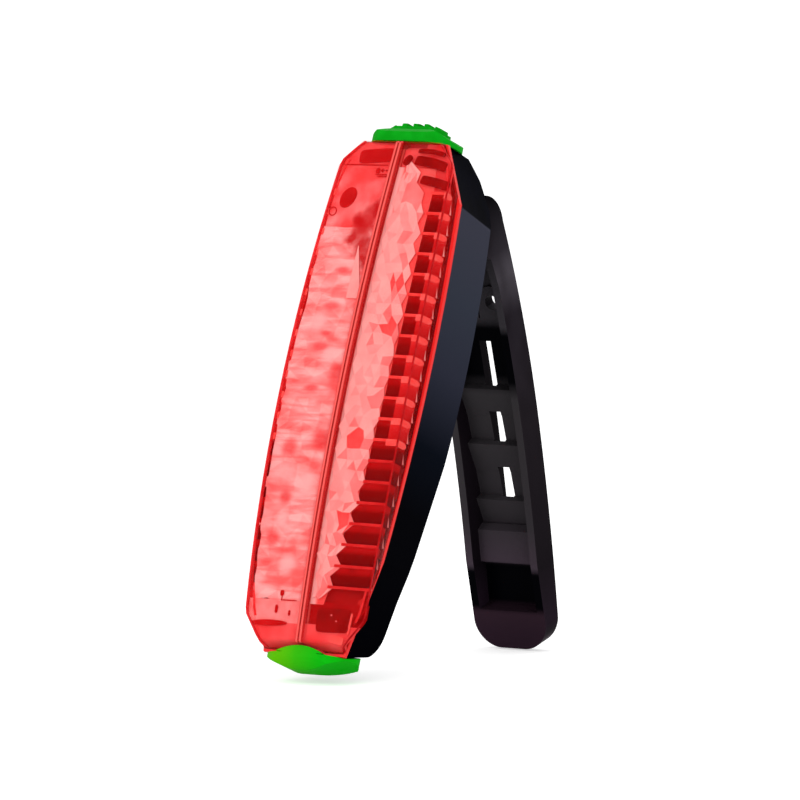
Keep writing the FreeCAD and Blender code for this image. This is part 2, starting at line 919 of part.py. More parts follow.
def eye_pad(x):
    half = eye_pad_half_width
    base = clip_floor - eye_pad_height

    def at(point):
        return vector(x + point[0], hinge_y + base, hinge_z - point[1])
    arch = eye_along - eye_pad_length / 2 + half
    foot = eye_along + eye_pad_length / 2
    return flat_face(
        at,
        (half, arch),
        ((0, arch - half), (-half, arch)),
        ((-half, foot),),
        ((half, foot),),
        ((half, arch),)).extrude(vector(0, eye_pad_height + eye_pad_root, 0))


def make_clip():
    clip = clip_envelope().common(clip_plan()).cut(clip_hollow())
    clip = clip.fuse([eye_pad(eye_x), eye_pad(-eye_x)])
    clip = clip.cut(clip_slot())
    for x in (-eye_x, eye_x):
        clip = clip.cut(rod(eye_radius, far, (x, hinge_y - knuckle_round, hinge_z - eye_along), inward))
    half = clip_half_width - pin_cover
    clip = clip.cut(rod(pin_radius, 2 * half, (-half, hinge_y, hinge_z), across))
    return clip.removeSplitter()


def make_pin():
    half = clip_half_width - pin_cover - pin_end_gap
    return rod(pin_radius, 2 * half, (-half, hinge_y, hinge_z), across)


def make_washers():
    start = ear_outer + washer_gap
    ring = rod(washer_radius, washer_thickness, (start, hinge_y, hinge_z), across)
    ring = ring.cut(rod(pin_radius + pin_running_gap, far, (0, hinge_y, hinge_z), across))
    return both_sides(ring)


def opened(shape):
    turned = shape.copy()
    turned.rotate(vector(0, hinge_y, hinge_z), across, open_angle)
    return turned


def leaned(shape):
    turned = shape.copy()
    turned.rotate(vector(0, 0, 0), across, -lean_angle)
    return turned


def main():
    os.makedirs("parts", exist_ok=True)
    nodes = {
        "lens": make_lens(),
        "lens_gasket": make_gasket(),
        "rear_housing": make_housing(),
        "circuit_board": make_board(),
        "board_screws": make_screws(),
        "led_chips": make_leds(),
        "light_guide": make_guide(),
        "board_chips": make_chips(),
        "battery_cell": make_battery(),
        "battery_tape": make_tape(),
        "positive_lead": lead_tube(lead_x),
        "negative_lead": lead_tube(-lead_x),
        "charging_socket": make_socket(),
        "socket_tongue": make_socket_tongue(),
        "switch_base": make_switch(),
        "switch_plunger": make_plunger(),
        "button_boot": make_boot(),
        "push_button": make_button(),
        "port_cover": make_cover(),
        "cover_tether": make_tether(),
        "strap_clip": opened(make_clip()),
        "hinge_pin": opened(make_pin()),
        "hinge_washers": make_washers(),
    }
    standing = {name: leaned(shape) for name, shape in nodes.items()}
    bounds = FreeCAD.BoundBox()
    for shape in standing.values():
        bounds.add(shape.optimalBoundingBox())
    feet = vector(0, -(bounds.YMin + bounds.YMax) / 2, -bounds.ZMin)
    for name, shape in standing.items():
        placed = shape.translated(feet)
        placed.exportStep("parts/" + name + ".step")
        print(name, len(placed.Solids), "solids", round(placed.Volume, 3), "valid", placed.isValid())
    print("origin shift", round(feet.y, 3), round(feet.z, 3))
    hinge = leaned(Part.Vertex(vector(0, hinge_y, hinge_z))).translated(feet)
    print("hinge axis at", [round(v, 4) for v in hinge.Point])


main()
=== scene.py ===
import json
import math
import random

import bpy
from mathutils import Matrix, Vector


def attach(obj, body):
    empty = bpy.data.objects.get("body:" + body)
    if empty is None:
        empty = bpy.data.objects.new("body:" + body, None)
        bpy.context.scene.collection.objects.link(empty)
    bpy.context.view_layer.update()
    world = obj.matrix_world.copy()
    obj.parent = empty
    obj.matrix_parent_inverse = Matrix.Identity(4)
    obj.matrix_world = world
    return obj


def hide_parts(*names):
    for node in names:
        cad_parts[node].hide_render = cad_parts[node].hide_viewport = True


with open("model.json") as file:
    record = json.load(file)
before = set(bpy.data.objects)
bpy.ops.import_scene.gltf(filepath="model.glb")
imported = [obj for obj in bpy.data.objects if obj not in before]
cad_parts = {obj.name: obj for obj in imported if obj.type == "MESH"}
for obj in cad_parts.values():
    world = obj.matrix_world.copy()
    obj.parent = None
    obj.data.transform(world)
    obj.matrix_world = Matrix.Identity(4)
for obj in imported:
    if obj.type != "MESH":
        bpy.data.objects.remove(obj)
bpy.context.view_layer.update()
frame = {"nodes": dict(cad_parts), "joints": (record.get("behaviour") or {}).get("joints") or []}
mm = 0.001

# The light is modelled upright in millimetres: x across, y from lens to clip, z along. Then it leans.
stance = {"lean": 20.2, "hingeUpright": (0.0, 16.3, 28.0), "clipOpen": 36.0}
hingeJoint = [joint for joint in frame["joints"] if joint["name"] == "clip_hinge"][0]
hingePoint = Vector(hingeJoint["pos_m"])
lean = Matrix.Rotation(math.radians(-stance["lean"]), 4, "X")
shift = hingePoint - lean @ (Vector(stance["hingeUpright"]) * mm)
upright = Matrix.Translation(shift) @ lean @ Matrix.Scale(mm, 4)

# The outlines of the lens, from which the inner pieces are laid just under its skin.
lensForm = {
    "ridge": -4.6, "fall": 0.5, "half": 10.85, "bow": 311.0,
    "topArc": ((-6.6, 32.2), (-3.72, 36.32), (0.2, 37.2)),
    "bottomArc": ((0.2, -38.4), (-3.3, -36.05), (-6.6, -29.8)),
    "frontSide": ((9.65, 33.9), (10.85, 6.0), (10.3, -33.2)),
    "rimSide": ((10.7, 28.4), (11.2, 6.0), (9.7, -24.0)),
    "endHalf": 6.4, "top": 37.2, "bottom": -38.4, "skirt": 2.8,
    "endAlong": 0.8, "endDeep": 0.5}  # shares of an inset at the rounded ends
rib = {"low": -25.85, "pitch": 3.07}
ridgeGap = 0.72  # from the middle of the ridge to the pieces beside its bead
edgeShare = 0.01  # a point nearer than this to the side of its grid lies on that side


def circleThrough(first, second, third):
    (ax, ay), (bx, by), (cx, cy) = first, second, third
    twice = 2 * (ax * (by - cy) + bx * (cy - ay) + cx * (ay - by))
    a, b, c = ax * ax + ay * ay, bx * bx + by * by, cx * cx + cy * cy
    ux = (a * (by - cy) + b * (cy - ay) + c * (ay - by)) / twice
    uy = (a * (cx - bx) + b * (ax - cx) + c * (bx - ax)) / twice
    return ux, uy, math.hypot(ax - ux, ay - uy)


circles = {side: circleThrough(*lensForm[side]) for side in ("topArc", "bottomArc", "frontSide", "rimSide")}


def endDepth(arc, z):
    cy, cz, radius = circles[arc]
    return cy - math.sqrt(max(0.0, radius * radius - (z - cz) ** 2))


# The depth of the lens's roof at a place, moved inward.
def skin(x, z, inset):
    slope = lensForm["fall"] / lensForm["half"]
    y = lensForm["ridge"] + slope * abs(x) + z * z / (2 * lensForm["bow"]) + inset
    step, sink = inset * lensForm["endAlong"], inset * lensForm["endDeep"]
    if z > lensForm["topArc"][0][1]:
        y = max(y, endDepth("topArc", min(z + step, lensForm["top"])) + sink)
    if z < lensForm["bottomArc"][2][1]:
        y = max(y, endDepth("bottomArc", max(z - step, lensForm["bottom"])) + sink)
    return y


# Half the width of the lens: an arc along the side, then straight tapers to both ends.
def halfWidth(side, z):
    (topX, topZ), _, (lowX, lowZ) = lensForm[side]
    if z > topZ:
        return topX + (lensForm["endHalf"] - topX) * (z - topZ) / (lensForm["top"] - topZ)
    if z < lowZ:
        return lowX + (lensForm["endHalf"] - lowX) * (lowZ - z) / (lowZ - lensForm["bottom"])
    cx, cz, radius = circles[side]
    return cx + math.sqrt(radius * radius - (z - cz) ** 2)


def frontHalf(z):
    return halfWidth("frontSide", z)


def skirtX(y, z):
    share = min(1.0, max(0.0, -y / lensForm["skirt"]))
    rim = halfWidth("rimSide", z)
    return rim + (frontHalf(z) - rim) * share


# Edges of a panel, as functions of the height.
def fromLeft(gap):
    return lambda z: gap - frontHalf(z)


def fromRight(gap):
    return lambda z: frontHalf(z) - gap


def atX(x):
    return lambda z: x


def along(table, z):
    for (highZ, highX), (lowZ, lowX) in zip(table, table[1:]):
        if z >= lowZ:
            return lowX + (highX - lowX) * min(1.0, (z - lowZ) / (highZ - lowZ))
    return table[-1][1]


# Modelling helpers
def deselectAll():
    if bpy.context.object and bpy.context.object.mode != "OBJECT":
        bpy.ops.object.mode_set(mode="OBJECT")
    bpy.ops.object.select_all(action="DESELECT")


def pick(piece):
    deselectAll()
    piece.select_set(True)
    bpy.context.view_layer.objects.active = piece


def named(name):
    piece = bpy.context.object
    piece.name = name
    piece.data.name = name
    return piece


def editAll(piece, *steps):
    pick(piece)
    bpy.ops.object.mode_set(mode="EDIT")
    bpy.ops.mesh.select_all(action="SELECT")
    for step, options in steps:
        step(**options)
    bpy.ops.object.mode_set(mode="OBJECT")


def thicken(piece, thickness):
    pick(piece)
    modifier = piece.modifiers.new("wall", "SOLIDIFY")
    modifier.thickness = thickness
    modifier.offset = -1
    bpy.ops.object.modifier_apply(modifier=modifier.name)


def joinAll(pieces, name):
    deselectAll()
    for piece in pieces:
        piece.select_set(True)
    bpy.context.view_layer.objects.active = pieces[0]
    bpy.ops.object.join()
    return named(name)


def paint(piece, *paintNames):
    for paintName in paintNames:
        piece.data.materials.append(paints[paintName])


# Paints a piece, leans it into the light's stance and lets it ride on the body.
def settle(piece, slot, *paintNames, smoothAngle=None):
    paint(piece, *paintNames)
    pick(piece)
    piece.matrix_world = upright @ piece.matrix_world
    bpy.ops.object.transform_apply(location=True, rotation=True, scale=True)
    if smoothAngle:
        bpy.ops.object.shade_smooth_by_angle(angle=math.radians(smoothAngle))
    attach(piece, "body")


# Material helpers
def rgb(red, green, blue):
    def linear(value):
        value = value / 255
        return value / 12.92 if value <= 0.04045 else ((value + 0.055) / 1.055) ** 2.4
    return tuple(linear(value) for value in (red, green, blue))


def newMaterial(name):
    material = bpy.data.materials.new(name)
    material.use_nodes = True
    tree = material.node_tree
    return material, tree, tree.nodes["Principled BSDF"]


# Millimetres along the body, or along the clip, worked out from the piece's own object coordinates.
def bodyPoint(tree, onClip=False):
    coord = tree.nodes.new("ShaderNodeTexCoord")
    mapping = tree.nodes.new("ShaderNodeMapping")
    angle = math.radians(stance["lean"] - (stance["clipOpen"] if onClip else 0.0))
    turned = Matrix.Rotation(angle, 3, "X") @ (hingePoint if onClip else shift)
    mapping.inputs["Scale"].default_value = (1 / mm, 1 / mm, 1 / mm)
    mapping.inputs["Rotation"].default_value = (angle, 0, 0)
    mapping.inputs["Location"].default_value = -turned / mm
    tree.links.new(coord.outputs["Object"], mapping.inputs["Vector"])
    return mapping.outputs["Vector"]


def axes(tree, point):
    split = tree.nodes.new("ShaderNodeSeparateXYZ")
    tree.links.new(point, split.inputs["Vector"])
    return split.outputs["X"], split.outputs["Y"], split.outputs["Z"]


def facing(tree):
    normal = tree.nodes.new("ShaderNodeTexCoord").outputs["Normal"]
    sideways, backward, _ = axes(tree, normal)
    return calc(tree, "ABSOLUTE", sideways), backward


def calc(tree, operation, *values):
    node = tree.nodes.new("ShaderNodeMath")
    node.operation = operation
    for socket, value in zip(node.inputs, values):
        if isinstance(value, (int, float)):
            socket.default_value = value
        else:
            tree.links.new(value, socket)
    return node.outputs[0]


def band(tree, value, low, high, interpolation="SMOOTHSTEP"):
    node = tree.nodes.new("ShaderNodeMapRange")
    node.interpolation_type = interpolation
    node.inputs["From Min"].default_value = low
    node.inputs["From Max"].default_value = high
    tree.links.new(value, node.inputs["Value"])
    return node.outputs["Result"]


def mixed(tree, factor, first, second):
    node = tree.nodes.new("ShaderNodeMix")
    node.data_type = "RGBA"
    tree.links.new(factor, node.inputs[0])
    for socket, value in ((node.inputs[6], first), (node.inputs[7], second)):
        if isinstance(value, tuple):
            socket.default_value = (*value, 1)
        else:
            tree.links.new(value, socket)
    return node.outputs[2]


def tinted(tree, factor, strength, colour, tint):
    return mixed(tree, calc(tree, "MULTIPLY", factor, strength), colour, tint)


def stretched(tree, point, scale):
    mapping = tree.nodes.new("ShaderNodeMapping")
    mapping.inputs["Scale"].default_value = scale
    tree.links.new(point, mapping.inputs["Vector"])
    return mapping.outputs["Vector"]


def noise(tree, point, scale, detail=2.0, output="Fac"):
    node = tree.nodes.new("ShaderNodeTexNoise")
    node.inputs["Scale"].default_value = scale
    node.inputs["Detail"].default_value = detail
    tree.links.new(point, node.inputs["Vector"])
    return node.outputs[output]


def ramp(tree, source, stops):
    node = tree.nodes.new("ShaderNodeValToRGB")
    first, last = node.color_ramp.elements
    for element, (position, colour) in ((first, stops[0]), (last, stops[-1])):
        element.position = position
        element.color = (*colour, 1)
    for position, colour in stops[1:-1]:
        node.color_ramp.elements.new(position).color = (*colour, 1)
    tree.links.new(source, node.inputs["Fac"])
    return node.outputs["Color"]


def spot(tree, point, centre, radius, core=0.25):
    node = tree.nodes.new("ShaderNodeVectorMath")
    node.operation = "DISTANCE"
    tree.links.new(point, node.inputs[0])
    node.inputs[1].default_value = centre
    return band(tree, node.outputs["Value"], radius, radius * core)


def bump(tree, source, strength, distance, bsdf):
    node = tree.nodes.new("ShaderNodeBump")
    node.inputs["Strength"].default_value = strength
    node.inputs["Distance"].default_value = distance
    tree.links.new(source, node.inputs["Height"])
    tree.links.new(node.outputs["Normal"], bsdf.inputs["Normal"])


# Joins the colour to the shader and sets the finish, which is the same all over the surface.
def finish(tree, bsdf, colour, roughness, ior, metallic=0.0, gloss=0.5):
    tree.links.new(colour, bsdf.inputs["Base Color"])
    bsdf.inputs["Specular IOR Level"].default_value = gloss
    bsdf.inputs["Roughness"].default_value = roughness
    bsdf.inputs["IOR"].default_value = ior
    bsdf.inputs["Metallic"].default_value = metallic


grain = {"scale": 0.8, "low": 0.3, "high": 0.7, "finer": 4, "strength": 0.05, "depth": 0.0001}


def grainMaterial(name, dark, light, roughness, scale=grain["scale"], strength=grain["strength"],
                  ior=1.05, metallic=0.0):
    material, tree, bsdf = newMaterial(name)
    point = bodyPoint(tree)
    colour = ramp(tree, noise(tree, point, scale), ((grain["low"], dark), (grain["high"], light)))
    finish(tree, bsdf, colour, roughness, ior, metallic)
    bump(tree, noise(tree, point, scale * grain["finer"]), strength, grain["depth"], bsdf)
    return material


# The clear red lens: its beads along the ridge with painted highlight and shade lines, the flange, and a
# dark line beside the flange.
lensLook = {
    "red": rgb(255, 12, 14), "deep": rgb(238, 6, 8), "cloud": (0.15, 0.35, 0.65),
    "beadStops": ((0.0, rgb(180, 8, 10)), (0.09, rgb(192, 12, 14)), (0.18, rgb(255, 96, 90)),
                  (0.42, rgb(255, 92, 86)), (0.50, rgb(192, 12, 14)), (0.60, rgb(206, 20, 24))),
    "beadEdge": (0.68, 0.60), "beadAlpha": 0.8,
    "line": rgb(150, 6, 12), "lineTop": (-1.02, -0.96), "lineFoot": (-0.60, -0.64), "lineAlpha": 0.6,
    "flange": rgb(248, 42, 40), "flangeEdge": (-0.64, -0.60), "flangeAlpha": 0.92,
    "clear": 0.16, "passes": 0.8, "roughness": 0.12, "ior": 1.3, "bump": (0.6, 0.04, 0.0002)}


# The paint that a piece under the lens needs to show as the given colour through the red skin.
def behindLens(red, green, blue):
    def needed(wanted, own):
        return min(1.0, max(0.0, (wanted - lensLook["clear"] * own) / lensLook["passes"]))
    return tuple(needed(wanted, own) for wanted, own in zip(rgb(red, green, blue), lensLook["red"]))


def lensMaterial():
    material, tree, bsdf = newMaterial("clearRedLens")
    point = bodyPoint(tree)
    x, y, _ = axes(tree, point)
    side = calc(tree, "ABSOLUTE", x)
    cloudScale, cloudLow, cloudHigh = lensLook["cloud"]
    colour = ramp(tree, noise(tree, point, cloudScale), (
        (cloudLow, lensLook["deep"]), (cloudHigh, lensLook["red"])))
    onBeads = band(tree, side, *lensLook["beadEdge"])
    # The bead stops paint highlight and shade lines along the ridge.
    colour = mixed(tree, onBeads, colour, ramp(tree, side, lensLook["beadStops"]))
    lineTop, lineFoot = band(tree, y, *lensLook["lineTop"]), band(tree, y, *lensLook["lineFoot"])
    onLine = calc(tree, "MULTIPLY", lineTop, lineFoot)
    onFlange = band(tree, y, *lensLook["flangeEdge"])
    colour = mixed(tree, onLine, colour, lensLook["line"])
    colour = mixed(tree, onFlange, colour, lensLook["flange"])
    clear = lensLook["clear"]
    alpha = calc(tree, "MULTIPLY_ADD", onBeads, lensLook["beadAlpha"] - clear, clear)
    for share, opacity in ((onLine, lensLook["lineAlpha"]), (onFlange, lensLook["flangeAlpha"])):
        alpha = calc(tree, "MAXIMUM", alpha, calc(tree, "MULTIPLY", share, opacity))
    tree.links.new(alpha, bsdf.inputs["Alpha"])
    finish(tree, bsdf, colour, lensLook["roughness"], lensLook["ior"])
    bumpScale, strength, distance = lensLook["bump"]
    bump(tree, noise(tree, point, bumpScale), strength, distance, bsdf)
    return material


# The black housing: its flat side panel carries a painted sheen that pales towards the top, and the rest is
# a soft black.
housingLook = {
    "black": rgb(0, 0, 3), "shoulder": rgb(3, 3, 12), "cloud": (0.25, 0.3, 0.7),
    "panelFoot": -16.0, "panelTop": 28.4, "panelEdge": (28.5, 28.2), "sideways": (0.86, 0.93),
    "panelStops": ((0.0, rgb(0, 0, 3)), (0.22, rgb(5, 9, 19)), (0.48, rgb(41, 43, 56)),
                   (0.7, rgb(48, 52, 64)), (0.95, rgb(56, 57, 69))),
    "roughness": 0.4, "ior": 1.06, "gloss": 0.1, "bump": (3.0, 0.08, 0.0001)}


def housingMaterial():
    material, tree, bsdf = newMaterial("blackHousing")
    point = bodyPoint(tree)
    z = axes(tree, point)[2]
    outward = facing(tree)[0]
    # The side panel's ramp is a painted sheen, palest at the top.
    height = band(tree, z, housingLook["panelFoot"], housingLook["panelTop"], "LINEAR")
    panel = ramp(tree, height, housingLook["panelStops"])
    sideways = band(tree, outward, *housingLook["sideways"])
    onSheenPanel = calc(tree, "MULTIPLY", sideways, band(tree, z, *housingLook["panelEdge"]))
    cloudScale, cloudLow, cloudHigh = housingLook["cloud"]
    cloud = ramp(tree, noise(tree, point, cloudScale), (
        (cloudLow, housingLook["black"]), (cloudHigh, housingLook["shoulder"])))
    colour = mixed(tree, onSheenPanel, cloud, panel)
    finish(tree, bsdf, colour, housingLook["roughness"], housingLook["ior"], gloss=housingLook["gloss"])
    bumpScale, strength, distance = housingLook["bump"]
    bump(tree, noise(tree, point, bumpScale), strength, distance, bsdf)
    return material


# The black clip: stops of painted highlight and shadow run from its head to its tip, on the flanks and on
# the toothed inside.
clipLook = {
    "black": rgb(3, 2, 5), "low": rgb(20, 15, 20), "head": 6.0, "tip": -60.0,
    "flankStops": ((0.0, rgb(3, 2, 5)), (0.12, rgb(44, 40, 46)), (0.18, rgb(78, 73, 80)),
                   (0.27, rgb(40, 35, 42)), (0.5, rgb(30, 25, 30)), (0.85, rgb(20, 15, 20)),
                   (0.97, rgb(38, 26, 38)), (1.0, rgb(38, 26, 38))),
    "insideStops": ((0.0, rgb(3, 2, 5)), (0.22, rgb(64, 61, 66)), (0.29, rgb(64, 61, 66)),
                    (0.31, rgb(3, 3, 6)), (0.42, rgb(3, 3, 6)), (0.46, rgb(60, 57, 60)),
                    (0.75, rgb(57, 53, 57)), (0.845, rgb(70, 59, 69)), (0.86, rgb(3, 3, 6)),
                    (0.94, rgb(3, 3, 6)), (0.955, rgb(50, 34, 44)), (1.0, rgb(46, 31, 42))),
    "cloud": (0.12, (1, 1, 0.6)), "cloudEdge": (0.35, 0.75),
    "backward": (0.1, 0.5), "sideways": (0.75, 0.9),
    "roughness": 0.3, "ior": 1.07, "gloss": 0.3, "bump": (2.0, 0.05, 0.0001)}


def clipMaterial():
    material, tree, bsdf = newMaterial("blackClip")
    point = bodyPoint(tree, onClip=True)
    z = axes(tree, point)[2]
    height = band(tree, z, clipLook["head"], clipLook["tip"], "LINEAR")
    cloudScale, cloudStretch = clipLook["cloud"]
    cloud = noise(tree, stretched(tree, point, cloudStretch), cloudScale)
    onCloud = band(tree, cloud, *clipLook["cloudEdge"])
    # The flank stops hold a painted highlight near the head; the inside stops hold painted shadow in the
    # recesses.
    flank = mixed(tree, onCloud, ramp(tree, height, clipLook["flankStops"]), clipLook["low"])
    back = mixed(tree, onCloud, clipLook["low"], clipLook["black"])
    outward, backward = facing(tree)
    colour = ramp(tree, height, clipLook["insideStops"])
    colour = mixed(tree, band(tree, backward, *clipLook["backward"]), colour, back)
    colour = mixed(tree, band(tree, outward, *clipLook["sideways"]), colour, flank)
    finish(tree, bsdf, colour, clipLook["roughness"], clipLook["ior"], gloss=clipLook["gloss"])
    bumpScale, strength, distance = clipLook["bump"]
    bump(tree, noise(tree, point, bumpScale), strength, distance, bsdf)
    return material


# The soft cover yellows towards its left side.
coverLook = {
    "across": (4.5, -4.5),
    "stops": ((0.0, rgb(8, 176, 12)), (0.6, rgb(52, 178, 10)), (1.0, rgb(88, 182, 4))),
    "roughness": 0.5, "ior": 1.1, "bump": (2.5, 0.06, 0.0001)}


def coverMaterial():
    material, tree, bsdf = newMaterial("coverGreen")
    point = bodyPoint(tree)
    x = axes(tree, point)[0]
    colour = ramp(tree, band(tree, x, *coverLook["across"]), coverLook["stops"])
    finish(tree, bsdf, colour, coverLook["roughness"], coverLook["ior"])
    bumpScale, strength, distance = coverLook["bump"]
    bump(tree, noise(tree, point, bumpScale), strength, distance, bsdf)
    return material


# The cells between the ribs carry painted shade at their foot and painted light under the upper rib.
cellLook = {
    "stops": (0.05, 0.55, 0.78, 0.95), "cloud": (0.6, 0.5, 0.8), "cloudShare": 0.5, "ribsBelow": 10,
    "roughness": 0.45, "ior": 1.05, "bump": (1.5, 0.05, 0.0001)}


def cellMaterial(name, low, middle, high):
    material, tree, bsdf = newMaterial(name)
    point = bodyPoint(tree)
    z = axes(tree, point)[2]
    foot = rib["low"] - cellLook["ribsBelow"] * rib["pitch"]
    share = calc(tree, "FRACT", calc(tree, "DIVIDE", calc(tree, "SUBTRACT", z, foot), rib["pitch"]))
    colour = ramp(tree, share, tuple(zip(cellLook["stops"], (low, middle, high, high))))
    cloudScale, cloudLow, cloudHigh = cellLook["cloud"]
    onCloud = band(tree, noise(tree, point, cloudScale), cloudLow, cloudHigh)
    colour = tinted(tree, onCloud, cellLook["cloudShare"], colour, low)
    finish(tree, bsdf, colour, cellLook["roughness"], cellLook["ior"])
    bumpScale, strength, distance = cellLook["bump"]
    bump(tree, noise(tree, point, bumpScale), strength, distance, bsdf)
    return material


# The cloudy pink of the left facets. Each spot is an x, a z and a radius.
cloudLook = {
    "inset": 0.45, "scale": 0.28, "detail": 3.0, "stretch": (0.55, 1.0, 1.5), "stops": (0.34, 0.48, 0.62),
    "streakScale": 0.34, "streakDetail": 4.0, "streakStretch": (0.35, 1.0, 2.6), "streakEdge": (0.5, 0.36),
    "streak": behindLens(246, 74, 74), "streakShare": 0.45,
    "shades": ((-7.4, -9.3, 2.0), (-6.6, -16.5, 1.6), (-7.6, -22.5, 1.8), (-2.2, -8.0, 2.2),
               (-1.6, 2.0, 2.0)),
    "shade": behindLens(232, 52, 54), "shadeShare": 0.75,
    "leaves": ((-5.2, 11.8, 1.05), (-5.3, 5.7, 1.15), (-5.0, 7.7, 0.55), (-5.6, -0.4, 0.8),
               (-4.6, 17.2, 0.8)),
    "leaf": behindLens(244, 76, 78), "leafShare": 0.85, "leafSquash": 0.42,
    # The glows are painted highlights, bright soft spots on the facets.
    "glows": ((-3.4, -14.2, 2.4), (-6.5, -19.6, 1.6), (-4.3, -26.0, 2.0), (-3.5, 4.6, 1.8),
              (-6.8, 9.5, 2.0)),
    "glow": behindLens(255, 172, 170), "glowShare": 0.8,
    "ridgeEdge": (-1.6, -1.0), "ridge": behindLens(232, 48, 50), "ridgeShare": 0.35,
    "roughness": 0.5, "ior": 1.05, "bump": (0.1, 0.0002)}

# A dark blotch lies over the foot of the board and the top of the left facets.
blotchLook = {
    "spots": ((-2.9, 23.8, 3.0), (-4.6, 22.0, 2.0), (-2.0, 20.8, 2.4), (-1.6, 26.4, 2.2), (-1.3, 18.8, 1.6),
              (-3.9, 25.0, 1.8)),
    "wobbleScale": 0.45, "wobbleDetail": 3.0, "wobble": 3.2, "dark": behindLens(198, 16, 20), "share": 0.93}


def spotted(tree, point, colour, spots, share, tint, squash=1.0):
    for x, z, radius in spots:
        centre = (x * squash, skin(x, z, cloudLook["inset"]), z)
        colour = tinted(tree, spot(tree, point, centre, radius), share, colour, tint)
    return colour


def blotched(tree, point, colour):
    wobble = blotchLook["wobble"]
    shove = tree.nodes.new("ShaderNodeVectorMath")
    shove.operation = "MULTIPLY_ADD"
    pattern = noise(tree, point, blotchLook["wobbleScale"], blotchLook["wobbleDetail"], output="Color")
    tree.links.new(pattern, shove.inputs[0])
    shove.inputs[1].default_value = [wobble] * 3
    tree.links.new(point, shove.inputs[2])
    centred = tree.nodes.new("ShaderNodeVectorMath")
    centred.operation = "SUBTRACT"
    tree.links.new(shove.outputs["Vector"], centred.inputs[0])
    centred.inputs[1].default_value = [wobble / 2] * 3
    return spotted(tree, centred.outputs["Vector"], colour, blotchLook["spots"], blotchLook["share"],
                   blotchLook["dark"])


def cloudMaterial(name, low, middle, high):
    material, tree, bsdf = newMaterial(name)
    look = cloudLook
    point = bodyPoint(tree)
    x = axes(tree, point)[0]
    cloud = noise(tree, stretched(tree, point, look["stretch"]), look["scale"], look["detail"])
    colour = ramp(tree, cloud, tuple(zip(look["stops"], (low, middle, high))))
    streakPoint = stretched(tree, point, look["streakStretch"])
    streaks = noise(tree, streakPoint, look["streakScale"], look["streakDetail"])
    onStreak = band(tree, streaks, *look["streakEdge"])
    colour = tinted(tree, onStreak, look["streakShare"], colour, look["streak"])
    colour = spotted(tree, point, colour, look["shades"], look["shadeShare"], look["shade"])
    squash = look["leafSquash"]
    squashed = stretched(tree, point, (squash, 1, 1))
    colour = spotted(tree, squashed, colour, look["leaves"], look["leafShare"], look["leaf"], squash)
    # The glows paint highlight spots.
    colour = spotted(tree, point, colour, look["glows"], look["glowShare"], look["glow"])
    colour = tinted(tree, band(tree, x, *look["ridgeEdge"]), look["ridgeShare"], colour, look["ridge"])
    colour = blotched(tree, point, colour)
    finish(tree, bsdf, colour, look["roughness"], look["ior"])
    bump(tree, cloud, *look["bump"], bsdf)
    return material


# The upper end of the circuit board, seen through the lens.
boardLook = {
    "scale": 0.22, "roughness": 0.5, "ior": 1.05, "bump": (0.05, 0.0002),
    "stops": ((0.32, behindLens(234, 52, 52)), (0.5, behindLens(244, 72, 72)),
              (0.62, behindLens(252, 102, 102)), (0.72, behindLens(255, 134, 132)))}


def boardMaterial():
    material, tree, bsdf = newMaterial("boardThroughLens")
    point = bodyPoint(tree)
    cloud = noise(tree, point, boardLook["scale"])
    colour = blotched(tree, point, ramp(tree, cloud, boardLook["stops"]))
    finish(tree, bsdf, colour, boardLook["roughness"], boardLook["ior"])
    bump(tree, cloud, *boardLook["bump"], bsdf)
    return material


# The bed under the right facets is painted paler towards the ridge, painted light that offsets the shadow
# of the ridge's bead.
bedLook = {
    "scale": 0.3, "stops": ((0.3, behindLens(255, 72, 70)), (0.7, behindLens(255, 96, 92))),
    "ridgeEdge": (1.8, 1.0), "pale": behindLens(255, 166, 162), "roughness": 0.5, "ior": 1.05}


def bedMaterial():
    material, tree, bsdf = newMaterial("bedRed")
    point = bodyPoint(tree)
    x = axes(tree, point)[0]
    colour = ramp(tree, noise(tree, point, bedLook["scale"]), bedLook["stops"])
    # The pale band beside the ridge is painted light.
    colour = mixed(tree, band(tree, x, *bedLook["ridgeEdge"]), colour, bedLook["pale"])
    finish(tree, bsdf, colour, bedLook["roughness"], bedLook["ior"])
    return material


# Grained finishes: dark and light tone, roughness, and what differs from the usual grain.
openLooks = {
    "softGreen": ((1, 146, 14), (7, 162, 24), 0.5, {"ior": 1.1, "scale": 0.6}),
    "blackRubber": ((6, 6, 7), (18, 18, 19), 0.7, {"ior": 1.2}),
    "platedSteel": ((180, 180, 182), (205, 205, 205), 0.3, {"ior": 1.45, "metallic": 1.0}),
    "paleBoard": ((225, 220, 212), (238, 234, 228), 0.5, {}),
    "ledYellow": ((246, 232, 190), (252, 248, 226), 0.3, {}),
    "chipBlack": ((14, 14, 15), (32, 32, 33), 0.5, {"ior": 1.3}),
    "cellFoil": ((170, 172, 176), (200, 202, 205), 0.35, {"strength": 0.3}),
    "redWire": ((190, 24, 24), (214, 36, 30), 0.5, {}),
    "sparkPale": ((250, 136, 132), (255, 176, 170), 0.3, {})}

